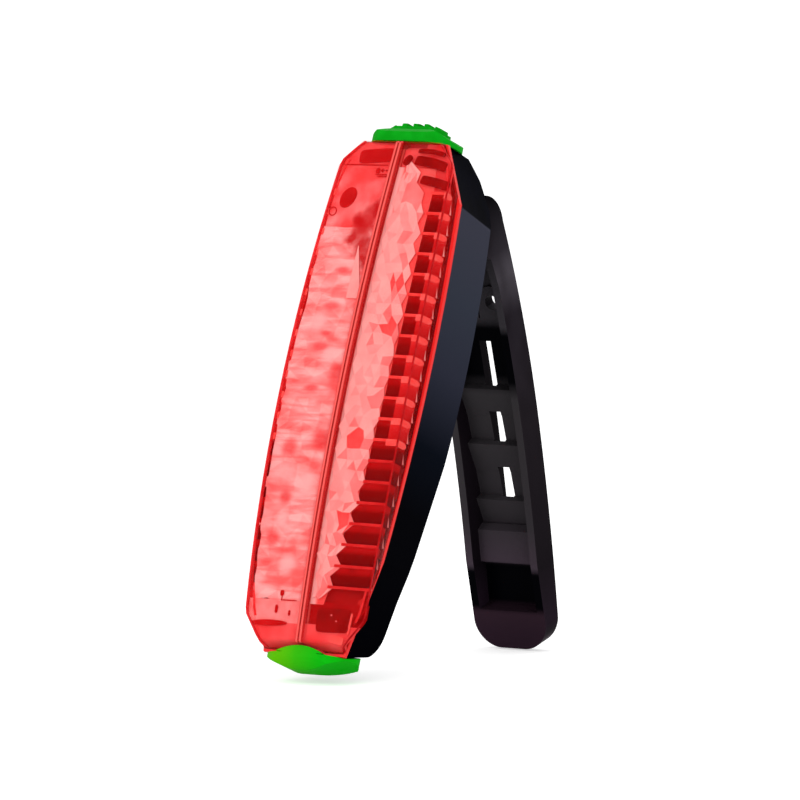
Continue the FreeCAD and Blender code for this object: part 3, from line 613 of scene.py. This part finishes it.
# The same under the lens, as the tones that show through it, with roughness and grain scale.
coveredLooks = {
    "facetPale": ((255, 148, 144), (255, 162, 157), 0.5, 0.35),
    "facetSoft": ((255, 134, 131), (255, 150, 147), 0.5, 0.35),
    "facetMid": ((255, 104, 102), (255, 126, 124), 0.5, 0.35),
    "facetDeep": ((250, 62, 62), (255, 82, 80), 0.5, 0.35),
    "edgeRed": ((222, 32, 34), (244, 56, 56), 0.5, 0.6),
    "trayRed": ((170, 8, 10), (190, 14, 16), 0.6, 0.4),
    "barRed": ((240, 48, 46), (250, 66, 62), 0.4, 0.7),
    "rungRed": ((206, 24, 26), (224, 42, 42), 0.4, 0.7),
    "barPale": ((252, 70, 66), (255, 94, 88), 0.4, 0.7),
    "creaseRed": ((176, 10, 14), (206, 26, 30), 0.5, 0.7),
    "leftCrease": ((212, 30, 34), (232, 50, 52), 0.5, 0.7),
    "hoodRed": ((238, 44, 46), (255, 84, 84), 0.5, 0.25),
    "markRed": ((188, 10, 12), (212, 24, 26), 0.6, 0.3),
    "markDark": ((140, 4, 4), (166, 10, 10), 0.6, 0.5),
    "patchPink": ((255, 110, 108), (255, 140, 138), 0.5, 0.5)}

# Low, middle and high tones of the shaded cells and the cloudy sheets, as they show through the lens.
# The dark cell tones are painted shade in the pockets between the ribs.
cellTones = {
    "cellDark": ((124, 0, 0), (142, 0, 0), (178, 8, 10)),
    "cellWide": ((116, 0, 0), (136, 0, 0), (186, 12, 14)),
    "columnRed": ((196, 16, 18), (214, 28, 30), (230, 44, 44))}
cloudTones = {
    "cloudPink": ((252, 98, 96), (255, 138, 136), (255, 164, 162)),
    "cloudSoft": ((255, 114, 112), (255, 154, 151), (255, 176, 173))}

print("materials")
paints = {
    "clearRedLens": lensMaterial(), "blackHousing": housingMaterial(), "blackClip": clipMaterial(),
    "coverGreen": coverMaterial(), "boardThroughLens": boardMaterial(), "bedRed": bedMaterial()}
for name, (dark, light, roughness, extra) in openLooks.items():
    paints[name] = grainMaterial(name, rgb(*dark), rgb(*light), roughness, **extra)
for name, (dark, light, roughness, scale) in coveredLooks.items():
    paints[name] = grainMaterial(name, behindLens(*dark), behindLens(*light), roughness, scale)
for make, toneTable in ((cellMaterial, cellTones), (cloudMaterial, cloudTones)):
    for name, tones in toneTable.items():
        paints[name] = make(name, *[behindLens(*tone) for tone in tones])

nodePaints = {
    "lens": "clearRedLens", "lens_gasket": "blackRubber", "rear_housing": "blackHousing",
    "circuit_board": "paleBoard", "board_screws": "platedSteel", "led_chips": "ledYellow",
    "board_chips": "chipBlack", "battery_cell": "cellFoil", "battery_tape": "blackRubber",
    "positive_lead": "redWire", "negative_lead": "blackRubber", "charging_socket": "platedSteel",
    "socket_tongue": "chipBlack", "switch_base": "chipBlack", "switch_plunger": "ledYellow",
    "button_boot": "softGreen", "push_button": "softGreen", "port_cover": "coverGreen",
    "cover_tether": "softGreen", "strap_clip": "blackClip", "hinge_pin": "platedSteel",
    "hinge_washers": "blackRubber", "light_guide": "facetPale"}
for nodeName, paintName in nodePaints.items():
    node = frame["nodes"][nodeName]
    node.data.materials.clear()
    paint(node, paintName)


# A thin closed panel under the lens's skin, between two edges, with an optional relief.
def addPanel(name, low, high, grid, leftAt, rightAt, inset, relief=None, wall=0.15):
    deselectAll()
    rows, columns = grid
    bpy.ops.mesh.primitive_grid_add(x_subdivisions=columns, y_subdivisions=rows, size=1)
    panel = named(name)
    for vertex in panel.data.vertices:
        across, up = vertex.co.x + 0.5, vertex.co.y + 0.5
        z = low + (high - low) * up
        left, right = leftAt(z), rightAt(z)
        x = left + (right - left) * across
        depth = inset
        if relief:
            x, z, depth = relief(x, z, across, up)
        vertex.co = (x, skin(x, z, depth), z)
    if relief:
        editAll(panel, (bpy.ops.mesh.quads_convert_to_tris, {"quad_method": "SHORTEST_DIAGONAL"}))
    thicken(panel, wall)
    return panel


# The pale facets right of the ridge, in half-rib rows: notch and crest are their outer edge in turn.
facets = {
    "low": -30.455, "grid": (42, 4), "inset": 0.48, "relief": 0.16, "jitter": 0.3, "seed": 11,
    "wave": (-0.2, 0.35), "waveJitter": 0.2,
    "inner": ((34.5, 1.7), (31.5, 1.5), (28.6, 1.3), (24.6, 1.05), (9.6, 1.0), (-2.3, 1.0), (-8, 0.95),
              (-12.0, 0.95), (-20.0, 0.95), (-26.0, 0.95), (-31.0, 1.0)),
    "crest": ((34.5, 2.6), (32.6, 4.4), (31.2, 4.8), (28.5, 6.4), (24, 6.9), (15.8, 7.0), (8.1, 7.3),
              (-1.6, 7.05), (-7.7, 6.75), (-13.8, 6.45), (-17.8, 6.2), (-23.7, 5.2), (-26.8, 4.7),
              (-31.0, 3.3)),
    "notch": ((34.5, 2.3), (32.3, 3.3), (30.1, 4.8), (27.4, 6.0), (21.9, 6.1), (16.0, 6.3), (8.0, 6.85),
              (-1.6, 6.6), (-7.7, 6.2), (-13.8, 5.7), (-17.0, 5.2), (-22, 4.05), (-25.2, 3.65),
              (-28.7, 3.0), (-31.0, 2.2)),
    "tones": ("facetPale", "facetSoft", "facetMid", "facetDeep"), "weights": (9, 6, 1, 0),
    # Faces near the outer edge that tilt downward take the under tone, a painted shade.
    "underTone": 2, "underReach": 1.4, "underTilt": -0.05,
    # The darker shards of painted shade, each an x, a z, a tone and a reach.
    "shards": ((4.0, 29.3, 2, 1.6), (5.3, 28.2, 2, 1.3), (5.2, 15.7, 3, 0.9), (5.3, 18.9, 2, 0.9),
               (5.2, 9.1, 3, 1.0), (4.6, 10.8, 2, 0.8), (3.9, -7.9, 3, 1.4), (4.1, -19.4, 3, 0.9),
               (4.1, -25.9, 2, 0.9)),
    "bed": {"low": -31.4, "high": 33.2, "grid": (44, 6), "left": 0.5, "lap": 0.05, "inset": 0.78,
            "smooth": 50}}


def facetTone(face, chance):
    x, z = face.center.x, face.center.z
    tone = chance.choices(range(len(facets["tones"])), weights=facets["weights"])[0]
    # Downward faces near the edge and the shards get painted shade tones.
    if x > along(facets["notch"], z) - facets["underReach"] and face.normal.z < facets["underTilt"]:
        tone = facets["underTone"]
    for shardX, shardZ, shardTone, reach in facets["shards"]:
        if abs(x - shardX) < reach and abs(z - shardZ) < reach:
            tone = shardTone
    return tone


def makeRightFacets():
    chance = random.Random(facets["seed"])
    rows = facets["grid"][0]
    high = facets["low"] + rib["pitch"] / 2 * rows

    def relief(x, z, across, up):
        odd = round(up * rows) % 2
        waveJitter = chance.uniform(-facets["waveJitter"], facets["waveJitter"])
        left = along(facets["inner"], z) + facets["wave"][odd] + waveJitter
        right = along(facets["crest" if odd else "notch"], z)
        x = left + (right - left) * across
        if edgeShare < across < 1 - edgeShare:
            x += chance.uniform(-1, 1) * facets["jitter"]
            z += chance.uniform(-1, 1) * facets["jitter"]
        return x, z, facets["inset"] + chance.uniform(-1, 1) * facets["relief"]

    sheet = addPanel("facetSheetRight", facets["low"], high, facets["grid"],
                     atX(0), atX(0), facets["inset"], relief)  # the relief sets its own edges
    paint(sheet, *facets["tones"])
    for face in sheet.data.polygons:
        face.material_index = facetTone(face, chance)
    settle(sheet, "light_guide")
    bed = facets["bed"]
    panel = addPanel("facetBed", bed["low"], bed["high"], bed["grid"], atX(bed["left"]),
                     lambda z: along(ladder["inner"], z) + bed["lap"], bed["inset"])
    settle(panel, "light_guide", "bedRed", smoothAngle=bed["smooth"])
    return sheet


# The cloudy facets left of the ridge, and the red band under the corner beside them.
leftSheet = {
    "low": -31.2, "high": 23.8, "grid": (36, 4), "inset": 0.45, "relief": 0.14, "seed": 5,
    "jitter": 0.3, "sideJitter": 0.48, "wave": 0.28,
    "tones": ("cloudPink", "cloudSoft"), "weights": (3, 2),
    "outer": ((24, -10.15), (16.3, -9.95), (12.0, -9.7), (7.3, -10.3), (-10, -10.45), (-20, -10.1),
              (-31, -9.5)),
    "corner": {"low": -34.0, "high": 33.6, "grid": (44, 3), "gaps": (0.1, 1.6), "inset": 0.75,
               "smooth": 50}}


def makeLeftFacets():
    chance = random.Random(leftSheet["seed"])

    def relief(x, z, across, up):
        if across < edgeShare:
            x += chance.uniform(-1, 1) * leftSheet["wave"]
        elif across < 1 - edgeShare:
            x += chance.uniform(-1, 1) * leftSheet["sideJitter"]
            z += chance.uniform(-1, 1) * leftSheet["jitter"]
        return x, z, leftSheet["inset"] + chance.uniform(-1, 1) * leftSheet["relief"]

    sheet = addPanel("facetSheetLeft", leftSheet["low"], leftSheet["high"], leftSheet["grid"],
                     lambda z: along(leftSheet["outer"], z), atX(-ridgeGap), leftSheet["inset"], relief)
    paint(sheet, *leftSheet["tones"])
    for face in sheet.data.polygons:
        face.material_index = chance.choices((0, 1), weights=leftSheet["weights"])[0]
    settle(sheet, "light_guide")
    corner = leftSheet["corner"]
    near, far = corner["gaps"]
    strip = addPanel("cornerBand", corner["low"], corner["high"], corner["grid"],
                     fromLeft(near), fromLeft(far), corner["inset"])
    settle(strip, "lens", "edgeRed", smoothAngle=corner["smooth"])


# The windows and hoods at both ends: heights, grid, edges, inset and paint.
windows = {
    "boardWindow": ((23.7, 33.45), (12, 8), fromLeft(0.25), atX(-ridgeGap), 0.5, "boardThroughLens"),
    "topHoodLeft": ((33.4, 37.1), (10, 8), fromLeft(0.12), atX(-ridgeGap), 0.5, "hoodRed"),
    "topHoodRight": ((28.0, 37.1), (16, 8), atX(ridgeGap), fromRight(0.3), 0.92, "hoodRed"),
    "lowWindowLeft": ((-34.4, -31.1), (6, 8), fromLeft(0.15), atX(-ridgeGap), 0.5, "patchPink"),
    "lowHood": ((-38.35, -34.3), (14, 14), fromLeft(0.1), fromRight(0.1), 0.55, "hoodRed"),
    "lowWindowRight": ((-35.0, -31.0), (8, 8), atX(ridgeGap), fromRight(0.3), 0.9, "trayRed")}
windowSmooth = 50


def makeWindows():
    for name, ((low, high), grid, leftAt, rightAt, inset, paintName) in windows.items():
        piece = addPanel(name, low, high, grid, leftAt, rightAt, inset)
        settle(piece, "lens", paintName, smoothAngle=windowSmooth)


# A slim dark line runs inside both corners of the lens, where the roof meets the sides.
creases = {
    "low": -38.2, "high": 37.0, "grid": (80, 2), "inset": 0.1, "wall": 0.3, "smooth": 50,
    "lines": {"creaseRight": (fromRight(0.22), fromRight(0.08), "creaseRed"),
              "creaseLeft": (fromLeft(0.07), fromLeft(0.38), "leftCrease")}}


def makeCreases():
    for name, (leftAt, rightAt, paintName) in creases["lines"].items():
        line = addPanel(name, creases["low"], creases["high"], creases["grid"], leftAt, rightAt,
                        creases["inset"], wall=creases["wall"])
        settle(line, "lens", paintName, smoothAngle=creases["smooth"])


# A thin closed patch on the roof: a power of 2 makes it oval, and higher ones make it squarer.
def addPatch(name, centre, half, power, inset, wall, paintName, turn=0.0, sag=0.0, segments=28):
    deselectAll()
    bpy.ops.mesh.primitive_circle_add(vertices=segments, radius=1, fill_type="NGON")
    patch = named(name)
    editAll(patch, (bpy.ops.mesh.inset, {"thickness": 0.25, "depth": 0.0}))
    cosTurn, sinTurn = math.cos(math.radians(turn)), math.sin(math.radians(turn))
    for vertex in patch.data.vertices:
        radius = math.hypot(vertex.co.x, vertex.co.y) or 1.0
        cosine, sine = vertex.co.x / radius, vertex.co.y / radius
        px = math.copysign(abs(cosine) ** (2 / power), cosine) * radius * half[0]
        pz = math.copysign(abs(sine) ** (2 / power), sine) * radius * half[1]
        pz -= sag * (px / half[0]) ** 2
        x, z = centre[0] + px * cosTurn - pz * sinTurn, centre[1] + px * sinTurn + pz * cosTurn
        vertex.co = (x, skin(x, z, inset), z)
    thicken(patch, wall)
    paint(patch, paintName)
    return patch


# The marks on the board and the shades under the hoods: centre, half sizes, power, turn and sag.
marks = {
    "inset": 0.3, "wall": 0.12,
    "windowMarks": ("markRed", {
        "topWindow": ((-3.6, 34.75), (3.0, 1.05), 6, 4.0, 0.0),
        "boardOval": ((-6.75, 28.25), (1.25, 1.65), 2, -28.0, 0.0),
        "lowOval": ((-6.0, -34.5), (3.2, 0.42), 2, 1.0, 0.0)}),
    "windowShades": ("markDark", {
        "barHigh": ((5.6, 35.7), (2.3, 0.34), 7, -6.0, 0.25),
        "barMiddle": ((5.9, 34.0), (2.7, 0.72), 9, -10.0, 0.2),
        "barLow": ((7.4, 31.0), (2.5, 0.66), 9, -11.0, 0.1),
        "cornerShade": ((1.9, 34.2), (0.55, 0.85), 2.5, -30.0, 0.0),
        "lowBlock": ((4.9, -33.6), (2.7, 1.7), 8, 2.0, 0.0)})}

# Small marks, as centre and half sizes, with the rest shared.
smallMarks = {
    "power": 3, "inset": 0.32, "wall": 0.1, "segments": 12,
    "places": ((-2.75, 32.45, 0.34, 0.42), (-1.95, 32.5, 0.3, 0.09), (-1.95, 32.5, 0.09, 0.3),
               (-1.2, 32.5, 0.24, 0.1), (-1.9, 31.85, 1.2, 0.08), (-1.7, 31.55, 1.0, 0.08),
               (-5.2, 33.32, 4.0, 0.07), (-4.36, -30.2, 0.3, 0.42), (-5.0, -32.5, 0.22, 0.6),
               (-2.64, -33.0, 0.16, 0.4), (-3.0, -31.2, 1.4, 0.07), (-4.3, -30.7, 0.06, 0.6))}


def makeMarks():
    for label in ("windowMarks", "windowShades"):
        paintName, table = marks[label]
        pieces = []
        for name, (centre, half, power, turn, sag) in table.items():
            pieces.append(addPatch(name, centre, half, power, marks["inset"], marks["wall"],
                                   paintName, turn, sag))
        if label == "windowMarks":
            for i, (x, z, halfX, halfZ) in enumerate(smallMarks["places"]):
                pieces.append(addPatch(
                    "mark" + str(i), (x, z), (halfX, halfZ), smallMarks["power"], smallMarks["inset"],
                    smallMarks["wall"], paintName, segments=smallMarks["segments"]))
        settle(joinAll(pieces, label), "lens")


ring = {"x": -8.9, "z": 26.1, "inset": 0.38, "radius": 0.62, "tube": 0.07, "segments": (28, 8),
        "smooth": 60}


def makeRing():
    deselectAll()
    major, minor = ring["segments"]
    depth = skin(ring["x"], ring["z"], ring["inset"])
    bpy.ops.mesh.primitive_torus_add(
        major_segments=major, minor_segments=minor, major_radius=ring["radius"], minor_radius=ring["tube"],
        rotation=(math.radians(90), 0, 0), location=(ring["x"], depth, ring["z"]))
    piece = named("boardRing")
    bpy.ops.object.transform_apply(location=True, rotation=True, scale=True)
    settle(piece, "lens", "markRed", smoothAngle=ring["smooth"])


# Pale patches at the foot: centre, half sizes, power, inset, wall, paint, turn and segments.
palePatches = {
    "lowPatch": ((5.9, -36.3), (1.1, 0.55), 9, 0.3, 0.12, "barPale", -10.0, 28),
    "lowFrame": ((7.75, -33.9), (0.16, 1.5), 6, 0.3, 0.12, "barPale", -6.0, 28),
    "lowDotOne": ((4.6, -32.9), (0.12, 0.12), 2, 0.2, 0.1, "patchPink", 0.0, 10),
    "lowDotTwo": ((5.5, -33.7), (0.1, 0.1), 2, 0.2, 0.1, "patchPink", 0.0, 10)}

# A pale wedge left of the ridge, whose right edge slants away above the bend.
paleWedge = {"low": 13.0, "high": 20.9, "left": -2.75, "right": -0.8, "bend": 14.6, "slant": 0.3,
             "grid": (8, 2), "inset": 0.24, "wall": 0.1}


def wedgeRight(z):
    slanted = paleWedge["right"] - (z - paleWedge["bend"]) * paleWedge["slant"]
    return min(paleWedge["right"], slanted)


def makePalePatches():
    pieces = []
    for name, (centre, half, power, inset, wall, paintName, turn, segments) in palePatches.items():
        pieces.append(addPatch(name, centre, half, power, inset, wall, paintName, turn, segments=segments))
    wedge = addPanel("paleWedge", paleWedge["low"], paleWedge["high"], paleWedge["grid"],
                     atX(paleWedge["left"]), wedgeRight, paleWedge["inset"], wall=paleWedge["wall"])
    paint(wedge, "facetPale")
    settle(joinAll(pieces + [wedge], "palePatches"), "lens")


# Between the ribs lie dark cells on the roof, painted shade in the pockets, and lighter ones on the corner.
# Below wideFrom each is one wide cell. Tables run from high to low, as a height and an x.
ladder = {
    "first": -1, "last": 18, "barHalf": 0.2, "barInset": 0.32, "barWall": 0.4, "cellInset": 0.62,
    "cellWall": 0.15, "skirtInset": 0.42, "skirtWall": 0.3, "foot": -1.1, "wideFrom": -10.5,
    "darkWide": 2.15, "paleHigh": 0.95, "narrowing": 0.6, "farX": 10.9, "ends": (-33.6, 34.2), "smooth": 40,
    "inner": ((33, 6.6), (30, 7.2), (10, 7.4), (8.1, 7.45), (-1.6, 7.05), (-7.7, 6.65), (-13.8, 6.25),
              (-17.8, 5.6), (-23.7, 4.2), (-29.0, 3.2), (-31.5, 2.6))}


def ribHeight(index):
    return rib["low"] + rib["pitch"] * index


# A thin closed tile, laid by a function of how far across and how far up each point is.
def addTile(side, wall, place):
    deselectAll()
    bpy.ops.mesh.primitive_grid_add(x_subdivisions=4, y_subdivisions=4, size=1)
    tile = bpy.context.object
    for vertex in tile.data.vertices:
        x, y, z = place(vertex.co.x + 0.5, vertex.co.y + 0.5)
        vertex.co = (side * x, y, z)
    if side < 0:
        editAll(tile, (bpy.ops.mesh.flip_normals, {}))
    thicken(tile, wall)
    return tile


def roofTile(side, low, high, start, end, inset, wall):
    def place(across, up):
        z = low + (high - low) * up
        x = start + (min(end, frontHalf(z) - inset) - start) * across
        return x, skin(x, z, inset), z
    return addTile(side, wall, place)


def skirtTile(side, low, high, inset, wall, narrowing=0.0):
    def place(across, up):
        if across > 1 - edgeShare:
            up = 0.5 + (up - 0.5) * (1 - narrowing)
        z = low + (high - low) * up
        top = skin(frontHalf(z), z, inset)
        y = top + (ladder["foot"] - top) * across
        return skirtX(y, z) - inset, y, z
    return addTile(side, wall, place)


# The bars, rungs and pale blocks are painted highlight on the ribs; the dark cells are painted shade in the
# pockets.
ladderPaints = {
    "ladderBars": "barRed", "ladderRungs": "rungRed", "ladderPales": "barPale", "ladderCells": "cellDark",
    "ladderColumns": "columnRed", "ladderWides": "cellWide"}


# One rib: a bar across the right of the roof and, on the narrow ones, pale blocks over corner and skirt;
# bars and blocks are painted highlight on the rib tops.
def addRib(tiles, side, low, inner, middle, end, wide):
    inset, wall = ladder["barInset"], ladder["barWall"]
    top = low + ladder["barHalf"]
    if side > 0:
        bars = tiles["ladderRungs" if wide else "ladderBars"]
        bars.append(roofTile(side, low - ladder["barHalf"], top, inner, end, inset, wall))
    if wide:
        return
    foot = top - ladder["paleHigh"]
    if side > 0:
        tiles["ladderPales"].append(roofTile(side, foot, top, middle, ladder["farX"], inset, wall))
    tiles["ladderPales"].append(skirtTile(side, foot, top, inset, wall, ladder["narrowing"]))


# The cells above one rib: the skirt's on both sides, the roof's on the right.
def addCells(tiles, side, low, high, inner, middle, end, wide):
    outer = tiles["ladderWides" if wide else "ladderColumns"]
    outer.append(skirtTile(side, low, high, ladder["skirtInset"], ladder["skirtWall"]))
    if side > 0:
        inset, wall = ladder["cellInset"], ladder["cellWall"]
        cells = tiles["ladderWides" if wide else "ladderCells"]
        cells.append(roofTile(side, low, high, inner, end, inset, wall))
        if not wide:
            outer.append(roofTile(side, low, high, middle, ladder["farX"], inset, wall))


def makeLadder(side):
    name = "Right" if side > 0 else "Left"
    tiles = {label: [] for label in ladderPaints}
    for i in range(ladder["first"], ladder["last"] + 1):
        low = ribHeight(i)
        inner = along(ladder["inner"], low)
        middle = inner + ladder["darkWide"]
        wide = low < ladder["wideFrom"]
        end = ladder["farX"] if wide else middle
        addRib(tiles, side, low, inner, middle, end, wide)
        if i < ladder["last"]:
            addCells(tiles, side, low, ribHeight(i + 1), inner, middle, end, wide)
    for label, pieces in tiles.items():
        if pieces:
            settle(joinAll(pieces, label + name), "lens", ladderPaints[label], smoothAngle=ladder["smooth"])
    foot, top = ladder["ends"]
    liner = []
    for low, high in ((foot, ribHeight(ladder["first"])), (ribHeight(ladder["last"]), top)):
        liner.append(skirtTile(side, low, high, ladder["skirtInset"], ladder["skirtWall"]))
    settle(joinAll(liner, "skirtEnds" + name), "lens", "edgeRed", smoothAngle=ladder["smooth"])


# Small bright wedges where the ribs meet the rim of the lens.
sparks = {"first": -1, "last": 17, "length": 1.5, "width": 0.34, "lift": 1.45, "rise": 1.0, "inset": 0.12,
          "slant": 0.28}


def makeSparks():
    wedges = []
    for side in (1, -1):
        for i in range(sparks["first"], sparks["last"] + 1):
            z = ribHeight(i) + sparks["rise"]
            deselectAll()
            bpy.ops.mesh.primitive_cone_add(vertices=3, radius1=sparks["width"] / 2, depth=sparks["length"])
            wedge = bpy.context.object
            x = skirtX(-sparks["lift"], z) - sparks["inset"]
            for vertex in wedge.data.vertices:
                y = vertex.co.y - sparks["lift"] - vertex.co.z * sparks["slant"]
                vertex.co = (side * (x + vertex.co.x), y, z + vertex.co.z)
            wedges.append(wedge)
    piece = joinAll(wedges, "rimSparks")
    editAll(piece, (bpy.ops.mesh.normals_make_consistent, {"inside": False}))
    settle(piece, "lens", "sparkPale")


# A red tray behind the facets closes the view into the body.
tray = {"low": -36.4, "high": 36.0, "grid": (40, 16), "gap": 1.7, "inset": 2.2, "smooth": 50}


def makeTray():
    piece = addPanel("reflectorTray", tray["low"], tray["high"], tray["grid"],
                     fromLeft(tray["gap"]), fromRight(tray["gap"]), tray["inset"])
    settle(piece, "lens", "trayRed", smoothAngle=tray["smooth"])


print("lens inside")
rightFacets = makeRightFacets()
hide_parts("light_guide")
makeLeftFacets()
makeWindows()
makeCreases()
makeMarks()
makeRing()
makePalePatches()
makeLadder(1)
makeLadder(-1)
makeSparks()
makeTray()

# Floor, lamps and background
floorLook = {"size": 6.0, "drop": 0.0002, "tone": 0.9, "glow": 0.5}
lampLook = {
    "size": 0.7, "target": (0, 0, 0.04),
    "lamps": {"keyLamp": ((-0.15, -0.95, 0.6), 4.0), "fillLamp": ((0.95, -0.45, 0.3), 2.5),
              "topLamp": ((0.1, 0.1, 1.0), 1.6)}}
worldLook = {"light": 0.7, "seen": 1.0}


def makeFloor():
    deselectAll()
    bpy.ops.mesh.primitive_plane_add(size=floorLook["size"], location=(0, 0, -floorLook["drop"]))
    floor = named("floor")
    material, tree, bsdf = newMaterial("paleFloor")
    bsdf.inputs["Base Color"].default_value = (*[floorLook["tone"]] * 3, 1)
    bsdf.inputs["Roughness"].default_value = 1.0
    bsdf.inputs["Specular IOR Level"].default_value = 0.0
    bsdf.inputs["Emission Color"].default_value = (1, 1, 1, 1)
    cameraRay = tree.nodes.new("ShaderNodeLightPath").outputs["Is Camera Ray"]
    glow = calc(tree, "MULTIPLY", cameraRay, floorLook["glow"])
    tree.links.new(glow, bsdf.inputs["Emission Strength"])
    floor.data.materials.append(material)


def addLamp(name, location, power):
    deselectAll()
    bpy.ops.object.light_add(type="AREA", location=location)
    lamp = bpy.context.object
    lamp.name = name
    lamp.data.size = lampLook["size"]
    lamp.data.energy = power
    aimed = Vector(lampLook["target"]) - Vector(location)
    lamp.rotation_euler = aimed.to_track_quat("-Z", "Y").to_euler()


# White where the camera, a reflection or the clear lens sees it, and a softer light elsewhere.
def makeWorld():
    world = bpy.context.scene.world or bpy.data.worlds.new("World")
    bpy.context.scene.world = world
    world.use_nodes = True
    tree = world.node_tree
    background = tree.nodes["Background"]
    background.inputs["Color"].default_value = (1, 1, 1, 1)
    rays = tree.nodes.new("ShaderNodeLightPath")
    seen = calc(tree, "MAXIMUM", rays.outputs["Is Camera Ray"], rays.outputs["Is Glossy Ray"])
    seen = calc(tree, "MAXIMUM", seen, rays.outputs["Is Transmission Ray"])
    strength = tree.nodes.new("ShaderNodeMapRange")
    strength.inputs["To Min"].default_value = worldLook["light"]
    strength.inputs["To Max"].default_value = worldLook["seen"]
    tree.links.new(seen, strength.inputs["Value"])
    tree.links.new(strength.outputs["Result"], background.inputs["Strength"])


# The camera looks at a point that is set off from the body's own origin by aimRight and aimUp.
view = {
    "azimuth": 34.0, "elevation": 4.6, "distance": 1.2, "frameWidth": 0.1135, "aimRight": 0.005844,
    "aimUp": -0.000809, "sensor": 36, "clip": (0.01, 20)}


def makeCamera():
    azimuth, elevation = math.radians(view["azimuth"]), math.radians(view["elevation"])
    sinA, cosA, sinE, cosE = math.sin(azimuth), math.cos(azimuth), math.sin(elevation), math.cos(elevation)
    rightward = Vector((cosA, sinA, 0))
    upward = Vector((-sinA * sinE, cosA * sinE, cosE))
    outward = Vector((sinA * cosE, -cosA * cosE, sinE))
    aim = upright @ Vector((0, 0, 0)) + view["aimRight"] * rightward + view["aimUp"] * upward
    deselectAll()
    bpy.ops.object.camera_add(location=aim + outward * view["distance"])
    camera = bpy.context.object
    camera.name = "camera"
    camera.rotation_euler = (-outward).to_track_quat("-Z", "Y").to_euler()
    camera.data.sensor_width = view["sensor"]
    camera.data.lens = view["sensor"] * view["distance"] / view["frameWidth"]
    camera.data.clip_start, camera.data.clip_end = view["clip"]
    bpy.context.scene.camera = camera


print("stage")
makeFloor()
for lampName, (location, power) in lampLook["lamps"].items():
    addLamp(lampName, location, power)
makeWorld()
makeCamera()
bpy.context.scene.view_settings.view_transform = "Standard"

print("done")
